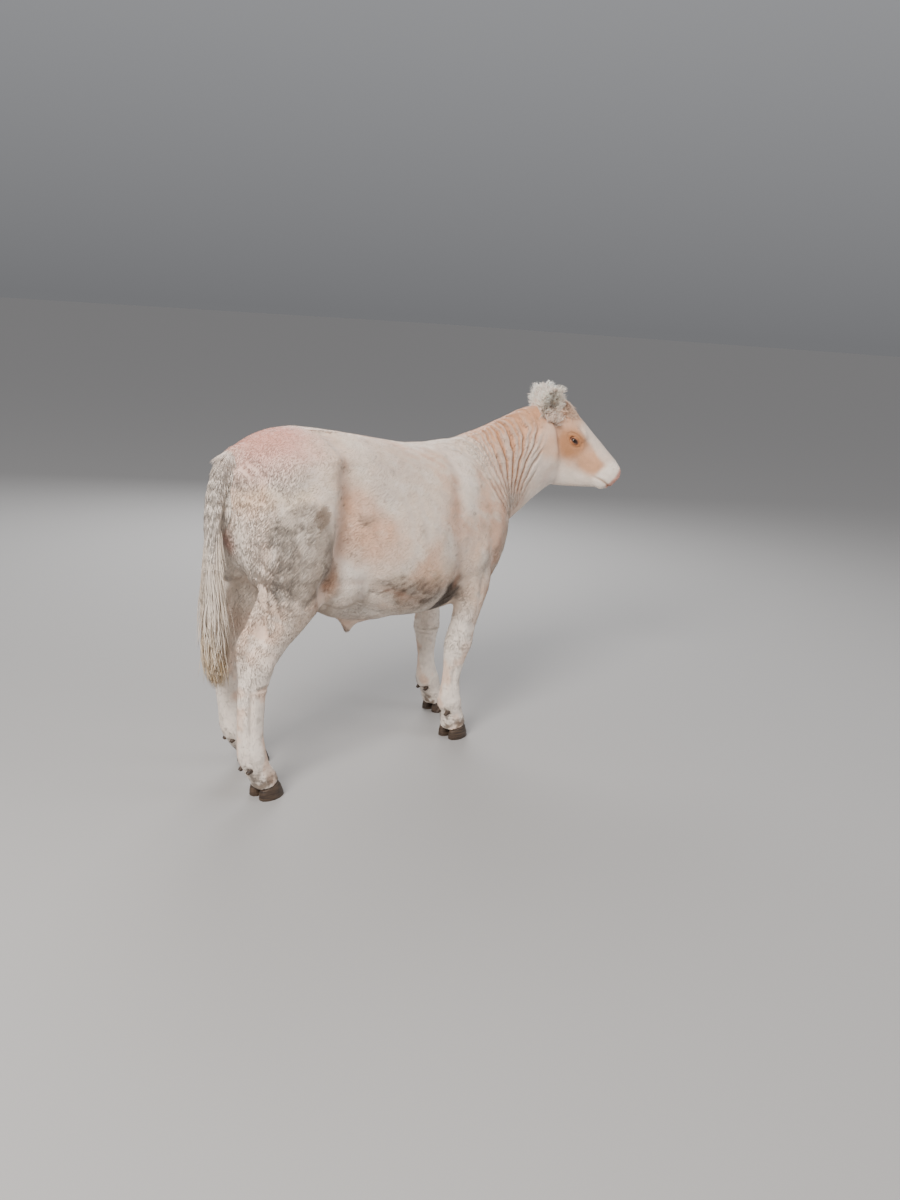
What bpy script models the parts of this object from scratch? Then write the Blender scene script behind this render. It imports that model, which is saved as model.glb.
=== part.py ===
"""A young Charolais standing still on four legs, as a life-size museum model.

Units are metres and +Z is up. The animal faces +X, its left side is +Y, and its head turns to its right.
The flesh is modelled whole from lofted limbs and swollen muscles, fused into one skin, and then parted with
thin cuts. Hooves, dewclaws, eyes, ears and tail are pieces of their own, set into the flesh.
The places below are measured from a point on the floor midway between the four feet. The last step
moves the whole animal so that the origin is under the middle of its bounding box.
"""

import math
import random

import bmesh
import bpy
import numpy as np
from mathutils import Matrix, Vector

# Driving sizes
GAP = 0.0003
BODY_VOXEL = 0.012
FLESH_VOXEL = 0.0055
HEAD_VOXEL = 0.0045
FLESH_TRIANGLES = 4200
HEAD_TRIANGLES = 1600
LOFT_SIDES = 40
ROWS_PER_SPAN = 4

RIGHT = -1
LEFT = 1
SIDE_NAMES = {RIGHT: "right", LEFT: "left"}

# Where each foot stands, as (x, distance from the middle plane)
FORE_FOOT = {RIGHT: (0.386, 0.143), LEFT: (0.550, 0.116)}
HIND_FOOT = {RIGHT: (-0.523, 0.156), LEFT: (-0.388, 0.104)}
LEG_ROOT_HEIGHT = 0.92

# Head: the poll is the head's own origin, and the head is turned right and tipped down from it
POLL = Vector((0.955, -0.085, 1.298))
HEAD_TURN = math.radians(-43)
HEAD_TIP = math.radians(42)

EYE_RADIUS = 0.0175
EYE_PLACE = (0.148, 0.0700, -0.080)
LID_RADIUS = 0.0055
LID_OPENING = (0.0185, 0.0125)
LID_STAND = 0.0105
LID_CORNER = 0.004
LID_SEGMENTS = 16
LID_SIDES = 6

EAR_LENGTH = 0.142
EAR_WIDTH = 0.084
EAR_THICKNESS = 0.006
EAR_CUP = 0.026
EAR_ROWS = 9
EAR_COLUMNS = 6
EAR_ROOT = (0.002, 0.076, -0.098)
EAR_LINE = (-0.60, 0.52, 0.61)
EAR_OPENING = (0.55, 0.75, 0.10)

# Nostrils and mouth, in the head's own frame
NOSTRIL_PLACE = (0.391, 0.032, -0.060)
NOSTRIL_RADII = (0.022, 0.0095, 0.0130)
NOSTRIL_TURNS = (35, 28)
MOUTH_BACK = 0.300
MOUTH_INNER = (0.078, 0.040)
MOUTH_OUTER = (0.120, 0.080)
MOUTH_LEVEL = -0.104
MOUTH_DROOP = 0.012
MOUTH_OPENINGS = (0.0006, 0.0015)
MOUTH_STEPS = 12

# Long hair: flat, tapered, four-sided locks. Sizes are length, width, and how far each may differ
LOCK_SEED = 4
TUFT_SEED = 11
LOCK_FLATNESS = 0.36
LOCK_SINK = 0.010
LOCK_VARIETY = 0.22
TUFT_ROWS = ((-0.024, 5), (-0.004, 6), (0.018, 5), (0.040, 4))
TUFT_SPACING = 0.0185
TUFT_LOCK = (0.062, 0.024)
TUFT_LIFT = 0.66
EAR_LOCK_PLACES = (0.24, 0.44, 0.62, 0.79, 0.94)
EAR_LOCK = (0.044, 0.024)
EAR_LOCK_LIFT = 0.25
EAR_LOCK_INSET = 0.009
SWITCH_HEIGHTS = (0.728, 0.675, 0.622, 0.572, 0.528)
SWITCH_LOCKS_AROUND = 4
SWITCH_LOCK = (0.200, 0.038)
SWITCH_LIFT = 0.12
SWITCH_TIP = 0.336

CLAW_SPREAD = 0.0262
CLAW_TOE = 0.056
CLAW_NARROWING = 0.30
CLAW_INNER_WALL = 0.86
CLAW_TOE_TURN = 0.010
CLAW_SIDES = 16
CORONET_PLACE = 0.026
CORONET_FRONT = 0.061
CORONET_SLOPE = 0.38

DEWCLAW_LENGTH = 0.026
DEWCLAW_RADIUS = 0.0110
DEWCLAW_TAPER = 0.62
DEWCLAW_HEIGHT = 0.112
DEWCLAW_SPREAD = 0.021
DEWCLAW_STAND = 0.001
DEWCLAW_TILT = -125

# Tail rows: x, y, z, half thickness, half width
TAIL = (
    (-0.480, 0.000, 1.132, 0.022, 0.030),
    (-0.540, 0.000, 1.134, 0.026, 0.034),
    (-0.590, 0.000, 1.106, 0.028, 0.036),
    (-0.622, 0.000, 1.045, 0.026, 0.036),
    (-0.640, 0.000, 0.960, 0.024, 0.036),
    (-0.645, 0.000, 0.860, 0.022, 0.034),
    (-0.645, 0.000, 0.760, 0.020, 0.030),
    (-0.642, 0.000, 0.690, 0.018, 0.025),
    (-0.638, 0.000, 0.610, 0.015, 0.021),
    (-0.633, 0.000, 0.550, 0.012, 0.016),
    (-0.629, 0.000, 0.505, 0.005, 0.007),
)
SWITCH_START = 0.76

# Trunk rows: x, top, bottom, half width, height of the widest line, fullness above and below that line
TRUNK = (
    (-0.612, 1.070, 0.900, 0.042, 0.970, 2.0, 2.0),
    (-0.584, 1.122, 0.820, 0.085, 0.980, 2.0, 2.0),
    (-0.535, 1.160, 0.740, 0.130, 0.985, 2.0, 2.0),
    (-0.450, 1.194, 0.690, 0.172, 0.985, 2.1, 2.0),
    (-0.350, 1.208, 0.650, 0.200, 0.985, 2.4, 2.0),
    (-0.260, 1.203, 0.610, 0.206, 0.975, 2.8, 2.0),
    (-0.170, 1.192, 0.570, 0.205, 0.900, 2.8, 2.1),
    (-0.060, 1.176, 0.532, 0.232, 0.825, 2.6, 2.2),
    (0.060, 1.157, 0.508, 0.250, 0.795, 2.3, 2.3),
    (0.180, 1.141, 0.495, 0.250, 0.790, 2.2, 2.3),
    (0.300, 1.139, 0.492, 0.232, 0.820, 2.0, 2.2),
    (0.400, 1.148, 0.496, 0.214, 0.840, 1.8, 2.1),
    (0.500, 1.148, 0.510, 0.196, 0.850, 1.7, 2.0),
    (0.580, 1.120, 0.540, 0.172, 0.840, 1.8, 2.0),
    (0.645, 1.040, 0.610, 0.130, 0.820, 2.0, 2.0),
    (0.696, 0.950, 0.700, 0.064, 0.805, 2.0, 2.0),
)

# Neck rows: x, y, z of the middle, half depth above, half depth below, half width
NECK = (
    (0.340, 0.000, 0.900, 0.190, 0.220, 0.120),
    (0.440, 0.000, 0.940, 0.205, 0.250, 0.140),
    (0.540, 0.000, 0.985, 0.184, 0.255, 0.138),
    (0.640, -0.006, 1.030, 0.166, 0.256, 0.122),
    (0.740, -0.022, 1.085, 0.150, 0.240, 0.106),
    (0.830, -0.048, 1.135, 0.140, 0.228, 0.094),
    (0.905, -0.086, 1.160, 0.125, 0.205, 0.086),
)

# Head rows, in the head's own frame: distance from the poll, top, bottom, half width, height of the widest line
HEAD = (
    (-0.045, -0.034, -0.255, 0.068, -0.100),
    (-0.010, -0.008, -0.304, 0.080, -0.090),
    (0.035, 0.002, -0.332, 0.086, -0.080),
    (0.095, 0.006, -0.334, 0.088, -0.078),
    (0.155, 0.004, -0.316, 0.080, -0.076),
    (0.210, 0.000, -0.281, 0.066, -0.076),
    (0.262, -0.004, -0.239, 0.057, -0.075),
    (0.308, -0.007, -0.197, 0.055, -0.074),
    (0.345, -0.010, -0.161, 0.060, -0.074),
    (0.374, -0.018, -0.134, 0.060, -0.074),
    (0.394, -0.032, -0.120, 0.048, -0.076),
    (0.400, -0.050, -0.100, 0.026, -0.078),
)

# Leg rows: x, distance from the middle plane, z, half depth in front, half depth behind, half width
HIND_LEG = (
    (-0.400, 0.120, 0.920, 0.140, 0.110, 0.090),
    (-0.402, 0.138, 0.800, 0.140, 0.148, 0.088),
    (-0.420, 0.150, 0.710, 0.130, 0.148, 0.076),
    (-0.465, 0.153, 0.625, 0.100, 0.100, 0.060),
    (-0.512, 0.148, 0.555, 0.078, 0.064, 0.050),
    (-0.550, 0.142, 0.485, 0.064, 0.058, 0.048),
    (-0.570, 0.142, 0.420, 0.055, 0.056, 0.046),
    (-0.578, 0.143, 0.350, 0.044, 0.055, 0.039),
    (-0.582, 0.146, 0.240, 0.041, 0.052, 0.037),
    (-0.582, 0.150, 0.180, 0.045, 0.052, 0.042),
    (-0.578, 0.152, 0.148, 0.047, 0.050, 0.046),
    (-0.560, 0.154, 0.108, 0.042, 0.045, 0.044),
    (-0.538, 0.156, 0.066, 0.046, 0.040, 0.050),
    (-0.527, 0.156, 0.020, 0.048, 0.038, 0.048),
)
HEEL_TENDON = (
    (-0.480, 0.122, 0.780, 0.040, 0.040, 0.034),
    (-0.530, 0.127, 0.680, 0.026, 0.022, 0.024),
    (-0.562, 0.128, 0.625, 0.022, 0.019, 0.020),
    (-0.592, 0.128, 0.575, 0.022, 0.018, 0.018),
    (-0.616, 0.130, 0.525, 0.026, 0.022, 0.024),
    (-0.610, 0.134, 0.470, 0.028, 0.024, 0.027),
    (-0.602, 0.140, 0.390, 0.024, 0.024, 0.026),
)
HEEL_WEB = (
    (-0.490, 0.140, 0.720, 0.060, 0.060, 0.036),
    (-0.520, 0.139, 0.650, 0.050, 0.046, 0.026),
    (-0.552, 0.138, 0.585, 0.046, 0.036, 0.021),
    (-0.580, 0.137, 0.525, 0.044, 0.034, 0.024),
    (-0.586, 0.140, 0.455, 0.034, 0.030, 0.030),
)
FORE_LEG = (
    (0.420, 0.120, 0.840, 0.100, 0.110, 0.060),
    (0.420, 0.140, 0.720, 0.100, 0.110, 0.062),
    (0.428, 0.148, 0.620, 0.086, 0.092, 0.058),
    (0.420, 0.147, 0.540, 0.066, 0.064, 0.052),
    (0.402, 0.145, 0.460, 0.053, 0.054, 0.047),
    (0.388, 0.143, 0.410, 0.053, 0.054, 0.050),
    (0.378, 0.142, 0.370, 0.052, 0.052, 0.051),
    (0.368, 0.141, 0.318, 0.042, 0.042, 0.041),
    (0.360, 0.141, 0.250, 0.034, 0.037, 0.033),
    (0.356, 0.142, 0.190, 0.038, 0.043, 0.038),
    (0.356, 0.142, 0.150, 0.045, 0.049, 0.047),
    (0.368, 0.143, 0.108, 0.041, 0.043, 0.044),
    (0.378, 0.143, 0.064, 0.046, 0.042, 0.051),
    (0.384, 0.143, 0.020, 0.048, 0.040, 0.050),
)

# Muscles and bones under the skin, on both sides: name, (x, y, z), (half length, half width, half height), tilt
MUSCLES = (
    ("hook_bone", (-0.270, 0.140, 1.095), (0.080, 0.062, 0.062), 10),
    ("rump", (-0.400, 0.105, 1.050), (0.140, 0.085, 0.110), -8),
    ("thigh", (-0.372, 0.122, 0.870), (0.140, 0.106, 0.200), 8),
    ("buttock", (-0.497, 0.088, 0.880), (0.096, 0.084, 0.205), 0),
    ("pin_bone", (-0.580, 0.055, 1.050), (0.030, 0.028, 0.034), 0),
    ("stifle", (-0.315, 0.160, 0.735), (0.080, 0.064, 0.115), 12),
    ("flank_fold", (-0.235, 0.150, 0.690), (0.110, 0.048, 0.090), 35),
    ("shoulder_blade", (0.400, 0.100, 0.930), (0.105, 0.092, 0.180), -18),
    ("upper_arm", (0.490, 0.135, 0.790), (0.092, 0.068, 0.110), 28),
    ("triceps", (0.390, 0.150, 0.740), (0.115, 0.074, 0.130), 14),
    ("point_of_shoulder", (0.560, 0.114, 0.815), (0.064, 0.058, 0.072), 0),
    ("elbow", (0.330, 0.150, 0.655), (0.044, 0.044, 0.050), 0),
    ("breast", (0.590, 0.036, 0.680), (0.072, 0.060, 0.096), 10),
)

# The navel fold, the sheath's tip and the soft floor of the belly: centre, radii, tilt
UNDERLINE = (
    ((0.020, 0.0, 0.565), (0.240, 0.120, 0.070), 3),
    ((-0.030, 0.0, 0.520), (0.095, 0.034, 0.036), 10),
    ((-0.062, 0.0, 0.490), (0.029, 0.024, 0.043), -14),
)

# Brow, cheek, jaw and lip swellings in the head's own frame, on both sides: centre, radii
HEAD_FORMS = (
    ((0.010, 0.028, -0.016), (0.045, 0.048, 0.018)),
    ((0.140, 0.062, -0.044), (0.048, 0.026, 0.030)),
    ((0.100, 0.054, -0.150), (0.082, 0.034, 0.088)),
    ((0.215, 0.046, -0.082), (0.070, 0.018, 0.022)),
    ((0.358, 0.036, -0.046), (0.034, 0.026, 0.030)),
    ((0.346, 0.024, -0.124), (0.040, 0.032, 0.022)),
)

# Where the flesh is parted. Leg outlines are seen from the side, as (x, z), and start this far from the middle
THIGH_OUTLINE = ((-0.90, 0.925), (-0.50, 0.900), (-0.32, 0.860), (-0.205, 0.720), (-0.205, -0.10), (-0.90, -0.10))
THIGH_START = 0.042
ARM_OUTLINE = ((0.235, 0.560), (0.300, 0.700), (0.420, 0.760), (0.560, 0.700), (0.640, 0.560), (0.640, -0.10),
               (0.235, -0.10))
ARM_START = 0.062
LEG_REACH = 0.60
HOCK_HEIGHT = 0.455
KNEE_HEIGHT = 0.345
NECK_CUT = ((0.600, 0.0, 1.030), (0.80, 0.0, 0.60))
HEAD_CUT = ((0.854, -0.056, 1.151), (0.82, -0.53, -0.20))
CUT_MARGIN = 0.03

# One claw's levels from the coronet to the sole: share of the height, toe, heel, half width
CLAW_LEVELS = (
    (1.00, 0.026, 0.042, 0.0205),
    (0.60, 0.042, 0.045, 0.0228),
    (0.14, 0.058, 0.045, 0.0238),
    (0.00, 0.060, 0.043, 0.0232),
)

# Colour, roughness
CREAM = ((0.80, 0.71, 0.60), 0.85)
TAN = ((0.74, 0.56, 0.42), 0.85)
WHITE = ((0.84, 0.79, 0.72), 0.90)
HORN = ((0.16, 0.11, 0.08), 0.45)
EYE_BROWN = ((0.05, 0.03, 0.02), 0.10)


def clear_scene():
    for item in list(bpy.data.objects):
        bpy.data.objects.remove(item)


def new_collection(name):
    made = bpy.data.collections.new(name)
    bpy.context.scene.collection.children.link(made)
    return made


def material(name, finish):
    colour, roughness = finish
    made = bpy.data.materials.new(name)
    made.use_nodes = True
    shader = made.node_tree.nodes["Principled BSDF"]
    shader.inputs["Base Color"].default_value = (*colour, 1)
    shader.inputs["Roughness"].default_value = roughness
    shader.inputs["Metallic"].default_value = 0
    return made


def smooth_rows(rows, per_span=ROWS_PER_SPAN):
    """The rows with Catmull-Rom rows between them, every column alike."""
    rows = np.array(rows, float)
    padded = np.vstack([2 * rows[0] - rows[1], rows, 2 * rows[-1] - rows[-2]])
    made = []
    for before, start, end, after in zip(padded, padded[1:], padded[2:], padded[3:]):
        for step in range(per_span):
            t = step / per_span
            made.append(
                0.5
                * (
                    2 * start
                    + (end - before) * t
                    + (2 * before - 5 * start + 4 * end - after) * t**2
                    + (3 * start - before - 3 * end + after) * t**3
                )
            )
    made.append(rows[-1])
    return np.array(made)


def rounded(value, fullness):
    """A cosine or sine reshaped from an ellipse's to a superellipse's."""
    return math.copysign(abs(value) ** (2 / fullness), value)


def close_tube(shape, rings):
    """Skins equal rings of vertices and closes both ends."""
    sides = len(rings[0])
    for lower, upper in zip(rings, rings[1:]):
        for step in range(sides):
            after = (step + 1) % sides
            shape.faces.new((lower[step], lower[after], upper[after], upper[step]))
    shape.faces.new(reversed(rings[0]))
    shape.faces.new(rings[-1])


def loft(shape, rows, sides=LOFT_SIDES, upright=False):
    """Adds a closed tube to the bmesh. A row is the centre's x, y, z, the half sizes along the first cross
    axis (plus and minus), the half width along the second, and the fullness on the plus and minus side.
    The second cross axis is the one nearest +Y, and the first is square to it and to the path. An upright
    loft keeps its sections square to X instead."""
    rows = np.array(rows, float)
    tangents = np.gradient(rows[:, :3], axis=0)
    if upright:
        tangents[:] = (1, 0, 0)
    rings = []
    for row, tangent in zip(rows, tangents):
        along = Vector(tangent).normalized()
        across = Vector((0, 1, 0)) - along * along.y
        across.normalize()
        upward = along.cross(across)
        centre = Vector(row[:3])
        plus, minus, width, full_plus, full_minus = row[3:8]
        ring = []
        for step in range(sides):
            angle = 2 * math.pi * step / sides
            high = math.sin(angle) >= 0
            fullness = full_plus if high else full_minus
            rise = rounded(math.sin(angle), fullness) * (plus if high else minus)
            spread = rounded(math.cos(angle), fullness) * width
            ring.append(shape.verts.new(centre + upward * rise + across * spread))
        rings.append(ring)
    close_tube(shape, rings)


def blob(shape, centre, radii, tilt=0.0, turn=0.0, segments=24):
    """Adds an ellipsoid to the bmesh, tilted about Y and then turned about Z, in degrees."""
    matrix = (
        Matrix.Translation(centre)
        @ Matrix.Rotation(math.radians(turn), 4, "Z")
        @ Matrix.Rotation(math.radians(tilt), 4, "Y")
        @ Matrix.Diagonal((*radii, 1))
    )
    bmesh.ops.create_uvsphere(shape, u_segments=segments, v_segments=segments // 2, radius=1, matrix=matrix)


def head_matrix():
    """Places the head's own frame: +X down the face to the nose, +Y to its left, +Z out of the forehead."""
    turn = Matrix.Rotation(HEAD_TURN, 4, "Z")
    tip = Matrix.Rotation(HEAD_TIP, 4, "Y")
    return Matrix.Translation(POLL) @ turn @ tip


def trunk_rows():
    return [
        (x, 0, widest, top - widest, widest - bottom, width, above, below)
        for x, top, bottom, width, widest, above, below in smooth_rows(TRUNK)
    ]


def neck_rows():
    return [(*row, 2.0, 2.0) for row in smooth_rows(NECK)]


def head_rows():
    return [
        (x, 0, widest, top - widest, widest - bottom, width, 2.5, 1.8)
        for x, top, bottom, width, widest in smooth_rows(HEAD)
    ]


def leg_rows(table, side, foot, planned):
    """The leg's rows, sheared so that the foot comes down on its own place."""
    made = []
    for x, y, z, front, back, width in smooth_rows(table):
        share = min(1.0, max(0.0, (LEG_ROOT_HEIGHT - z) / LEG_ROOT_HEIGHT))
        place_x = x + (foot[0] - planned[0]) * share
        place_y = side * (y + (foot[1] - planned[1]) * share)
        made.append((place_x, place_y, z, front, back, width, 2.2, 2.2))
    return made


def add_muscles(shape):
    for _, (x, y, z), radii, tilt in MUSCLES:
        for side in (RIGHT, LEFT):
            blob(shape, (x, side * y, z), radii, tilt)


def add_underline(shape):
    for centre, radii, tilt in UNDERLINE:
        blob(shape, centre, radii, tilt)


def add_head_forms(shape):
    loft(shape, head_rows(), upright=True)
    for (x, y, z), radii in HEAD_FORMS:
        for side in (RIGHT, LEFT):
            blob(shape, (x, side * y, z), radii)


def neighbour_average(points, ends, count):
    """Each point's average neighbour, from the edge list."""
    made = np.empty_like(points)
    for axis in range(3):
        total = np.bincount(ends[:, 0], points[ends[:, 1], axis], len(points))
        total += np.bincount(ends[:, 1], points[ends[:, 0], axis], len(points))
        made[:, axis] = total / count
    return made


def relax(mesh, passes, strength, steps=(0.60, -0.615)):
    """Smooths by turns, in and out, with a strength for each vertex. Near equal steps keep the volume."""
    points = np.empty(len(mesh.vertices) * 3)
    mesh.vertices.foreach_get("co", points)
    points = points.reshape(-1, 3)
    ends = np.empty(len(mesh.edges) * 2, int)
    mesh.edges.foreach_get("vertices", ends)
    ends = ends.reshape(-1, 2)
    count = np.bincount(ends.ravel(), minlength=len(points))
    weight = strength(points)[:, None]
    for _ in range(passes):
        for step in steps:
            points += step * weight * (neighbour_average(points, ends, count) - points)
    mesh.vertices.foreach_set("co", points.ravel())
    mesh.update()


def ramp(values, start, end):
    t = np.clip((values - start) / (end - start), 0, 1)
    return t * t * (3 - 2 * t)


def everywhere(points):
    return np.ones(len(points))


def fused_strength(points):
    """How far the fused skin is smoothed: fully on the body, less on the slim legs and the head."""
    body = ramp(points[:, 2], 0.42, 0.66)
    direction = Vector(HEAD_CUT[1]).normalized()
    ahead = (points - np.array(HEAD_CUT[0])) @ np.array(direction)
    return 0.30 + 0.70 * body * (1 - 0.75 * ramp(ahead, 0.06, 0.12))


def evaluated_mesh(item):
    graph = bpy.context.evaluated_depsgraph_get()
    return bpy.data.meshes.new_from_object(item.evaluated_get(graph))


def apply_modifiers(item):
    bpy.context.view_layer.update()
    made = evaluated_mesh(item)
    item.modifiers.clear()
    item.data = made
    return item


def mesh_object(name, shape, collection):
    mesh = bpy.data.meshes.new(name)
    bmesh.ops.recalc_face_normals(shape, faces=shape.faces)
    shape.to_mesh(mesh)
    shape.free()
    item = bpy.data.objects.new(name, mesh)
    collection.objects.link(item)
    return item


def copy_of(item, name, collection):
    made = bpy.data.objects.new(name, item.data.copy())
    made.matrix_world = item.matrix_world.copy()
    collection.objects.link(made)
    return made


def voxel_fuse(item, voxel):
    remesh = item.modifiers.new("Remesh", "REMESH")
    remesh.mode = "VOXEL"
    remesh.voxel_size = voxel
    return apply_modifiers(item)


def thin_out(item, triangles):
    """Reduces the mesh to about this many triangles."""
    item.data.calc_loop_triangles()
    thinner = item.modifiers.new("Decimate", "DECIMATE")
    thinner.ratio = min(1.0, triangles / len(item.data.loop_triangles))
    thinner.use_collapse_triangulate = True
    return apply_modifiers(item)


def combine(item, cutter, operation):
    """Applies one Boolean between two closed objects."""
    change = item.modifiers.new("Boolean", "BOOLEAN")
    change.object = cutter
    change.operation = operation
    change.solver = "EXACT"
    return apply_modifiers(item)


def combine_all(item, pieces, cutters):
    """One Boolean union with a whole collection of closed objects, which is then removed."""
    group = bpy.data.collections.new(item.name + "_pieces")
    cutters.children.link(group)
    for piece in pieces:
        for home in list(piece.users_collection):
            home.objects.unlink(piece)
        group.objects.link(piece)
    change = item.modifiers.new("Boolean", "BOOLEAN")
    change.operand_type = "COLLECTION"
    change.collection = group
    change.operation = "UNION"
    change.solver = "EXACT"
    change.use_self = True
    apply_modifiers(item)
    for piece in list(group.objects):
        bpy.data.objects.remove(piece)
    bpy.data.collections.remove(group)
    return item


def tidy(item, merge=0.00003):
    """Welds what nearly touches, drops slivers, and keeps only the largest closed surface."""
    shape = bmesh.new()
    shape.from_mesh(item.data)
    bmesh.ops.remove_doubles(shape, verts=shape.verts, dist=merge)
    bmesh.ops.dissolve_degenerate(shape, edges=shape.edges, dist=merge)
    bmesh.ops.triangulate(shape, faces=shape.faces)
    unseen = set(shape.faces)
    largest = set()
    while unseen:
        start = unseen.pop()
        island = {start}
        edge = [start]
        while edge:
            face = edge.pop()
            for side in face.edges:
                for other in side.link_faces:
                    if other in unseen:
                        unseen.discard(other)
                        island.add(other)
                        edge.append(other)
        if len(island) > len(largest):
            largest = island
    loose = [face for face in shape.faces if face not in largest]
    bmesh.ops.delete(shape, geom=loose, context="FACES")
    bmesh.ops.recalc_face_normals(shape, faces=shape.faces)
    shape.to_mesh(item.data)
    shape.free()
    item.data.update()
    return item


def fused_trunk(collection):
    """Trunk, neck, muscles and underline in one soft skin."""
    shape = bmesh.new()
    loft(shape, trunk_rows(), upright=True)
    loft(shape, neck_rows())
    add_muscles(shape)
    add_underline(shape)
    body = mesh_object("torso", shape, collection)
    voxel_fuse(body, BODY_VOXEL)
    relax(body.data, 10, everywhere, (0.60, -0.30))
    return body


def fused_head(collection):
    """The head's own skin, in its place."""
    shape = bmesh.new()
    add_head_forms(shape)
    head = mesh_object("head", shape, collection)
    voxel_fuse(head, HEAD_VOXEL)
    relax(head.data, 8, everywhere)
    head.data.transform(head_matrix())
    return head


def whole_flesh(collection):
    """Trunk, head and legs fused into one skin and relaxed."""
    body = fused_trunk(collection)
    head = fused_head(collection)
    shape = bmesh.new()
    shape.from_mesh(body.data)
    shape.from_mesh(head.data)
    bpy.data.objects.remove(head)
    for side in (RIGHT, LEFT):
        loft(shape, leg_rows(FORE_LEG, side, FORE_FOOT[side], FORE_FOOT[RIGHT]))
        loft(shape, leg_rows(HIND_LEG, side, HIND_FOOT[side], HIND_FOOT[RIGHT]))
        loft(shape, leg_rows(HEEL_TENDON, side, HIND_FOOT[side], HIND_FOOT[RIGHT]))
        loft(shape, leg_rows(HEEL_WEB, side, HIND_FOOT[side], HIND_FOOT[RIGHT]))
    shape.to_mesh(body.data)
    shape.free()
    voxel_fuse(body, FLESH_VOXEL)
    relax(body.data, 24, fused_strength)
    return body


def outline_prism(name, outline, start, side, collection, grow=0.0):
    """A closed slab seen from the side as this outline, from near the middle plane outwards."""
    points = [Vector(point) for point in outline]
    area = sum(a.x * b.y - b.x * a.y for a, b in zip(points, points[1:] + points[:1]))
    turn = 1 if area > 0 else -1
    grown = []
    for before, here, after in zip(points[-1:] + points[:-1], points, points[1:] + points[:1]):
        first = (here - before).normalized()
        second = (after - here).normalized()
        normal_first = Vector((first.y, -first.x)) * turn
        normal_second = Vector((second.y, -second.x)) * turn
        mitre = (normal_first + normal_second).normalized()
        grown.append(here + mitre * (grow / mitre.dot(normal_first)))
    shape = bmesh.new()
    rings = []
    for distance in (start - grow, LEG_REACH):
        rings.append([shape.verts.new((point.x, side * distance, point.y)) for point in grown])
    close_tube(shape, rings)
    return mesh_object(name, shape, collection)


def half_space(name, point, normal, collection, shift=0.0, size=3.0):
    """A big box whose near face is the plane, on the side the normal points to."""
    direction = Vector(normal).normalized()
    turn = direction.to_track_quat("Z", "Y").to_matrix().to_4x4()
    centre = Vector(point) + direction * (size / 2 + shift)
    shape = bmesh.new()
    bmesh.ops.create_cube(shape, size=size, matrix=Matrix.Translation(centre) @ turn)
    return mesh_object(name, shape, collection)


def cut_with(item, cutter, operation):
    combine(item, cutter, operation)
    bpy.data.objects.remove(cutter)
    return item


def part_legs(body, animal, cutters):
    """Cuts the four legs from the body, each in an upper and a lower length."""
    plans = (
        ("hind", THIGH_OUTLINE, THIGH_START, HOCK_HEIGHT, "shank"),
        ("fore", ARM_OUTLINE, ARM_START, KNEE_HEIGHT, "cannon"),
    )
    legs = []
    for kind, outline, start, joint_height, lower_word in plans:
        for side in (RIGHT, LEFT):
            name = f"{kind}_leg_{SIDE_NAMES[side]}"
            leg = copy_of(body, name, animal)
            cut_with(leg, outline_prism("cut", outline, start, side, cutters), "INTERSECT")
            cut_with(body, outline_prism("cut", outline, start, side, cutters, GAP), "DIFFERENCE")
            lower = copy_of(leg, f"{kind}_{lower_word}_{SIDE_NAMES[side]}", animal)
            joint = (0, 0, joint_height)
            cut_with(leg, half_space("cut", joint, (0, 0, 1), cutters, GAP / 2), "INTERSECT")
            cut_with(lower, half_space("cut", joint, (0, 0, -1), cutters, GAP / 2), "INTERSECT")
            legs += [leg, lower]
    return legs


def part_neck(body, animal, cutters):
    point, normal = NECK_CUT
    neck = copy_of(body, "neck", animal)
    cut_with(neck, half_space("cut", point, normal, cutters, GAP / 2), "INTERSECT")
    cut_with(body, half_space("cut", point, Vector(normal) * -1, cutters, GAP / 2), "INTERSECT")
    return neck


def roughly_beyond(item, point, normal):
    """Drops what lies behind the plane, with a margin, and closes the mesh there."""
    direction = Vector(normal).normalized()
    shape = bmesh.new()
    shape.from_mesh(item.data)
    bmesh.ops.bisect_plane(
        shape,
        geom=[*shape.verts, *shape.edges, *shape.faces],
        plane_co=Vector(point) - direction * CUT_MARGIN,
        plane_no=direction,
        clear_inner=True,
    )
    bmesh.ops.holes_fill(shape, edges=[edge for edge in shape.edges if edge.is_boundary])
    shape.to_mesh(item.data)
    shape.free()
    return item


def part_head(flesh, animal, cutters):
    """Parts the head from the body. Each is thinned out with a margin past the cut, and then trimmed to it."""
    point, normal = HEAD_CUT
    backwards = Vector(normal) * -1
    head = copy_of(flesh, "head", animal)
    roughly_beyond(head, point, normal)
    roughly_beyond(flesh, point, backwards)
    thin_out(head, HEAD_TRIANGLES)
    thin_out(flesh, FLESH_TRIANGLES)
    cut_with(head, half_space("cut", point, normal, cutters, GAP / 2), "INTERSECT")
    cut_with(flesh, half_space("cut", point, backwards, cutters, GAP / 2), "INTERSECT")
    return head


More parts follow.
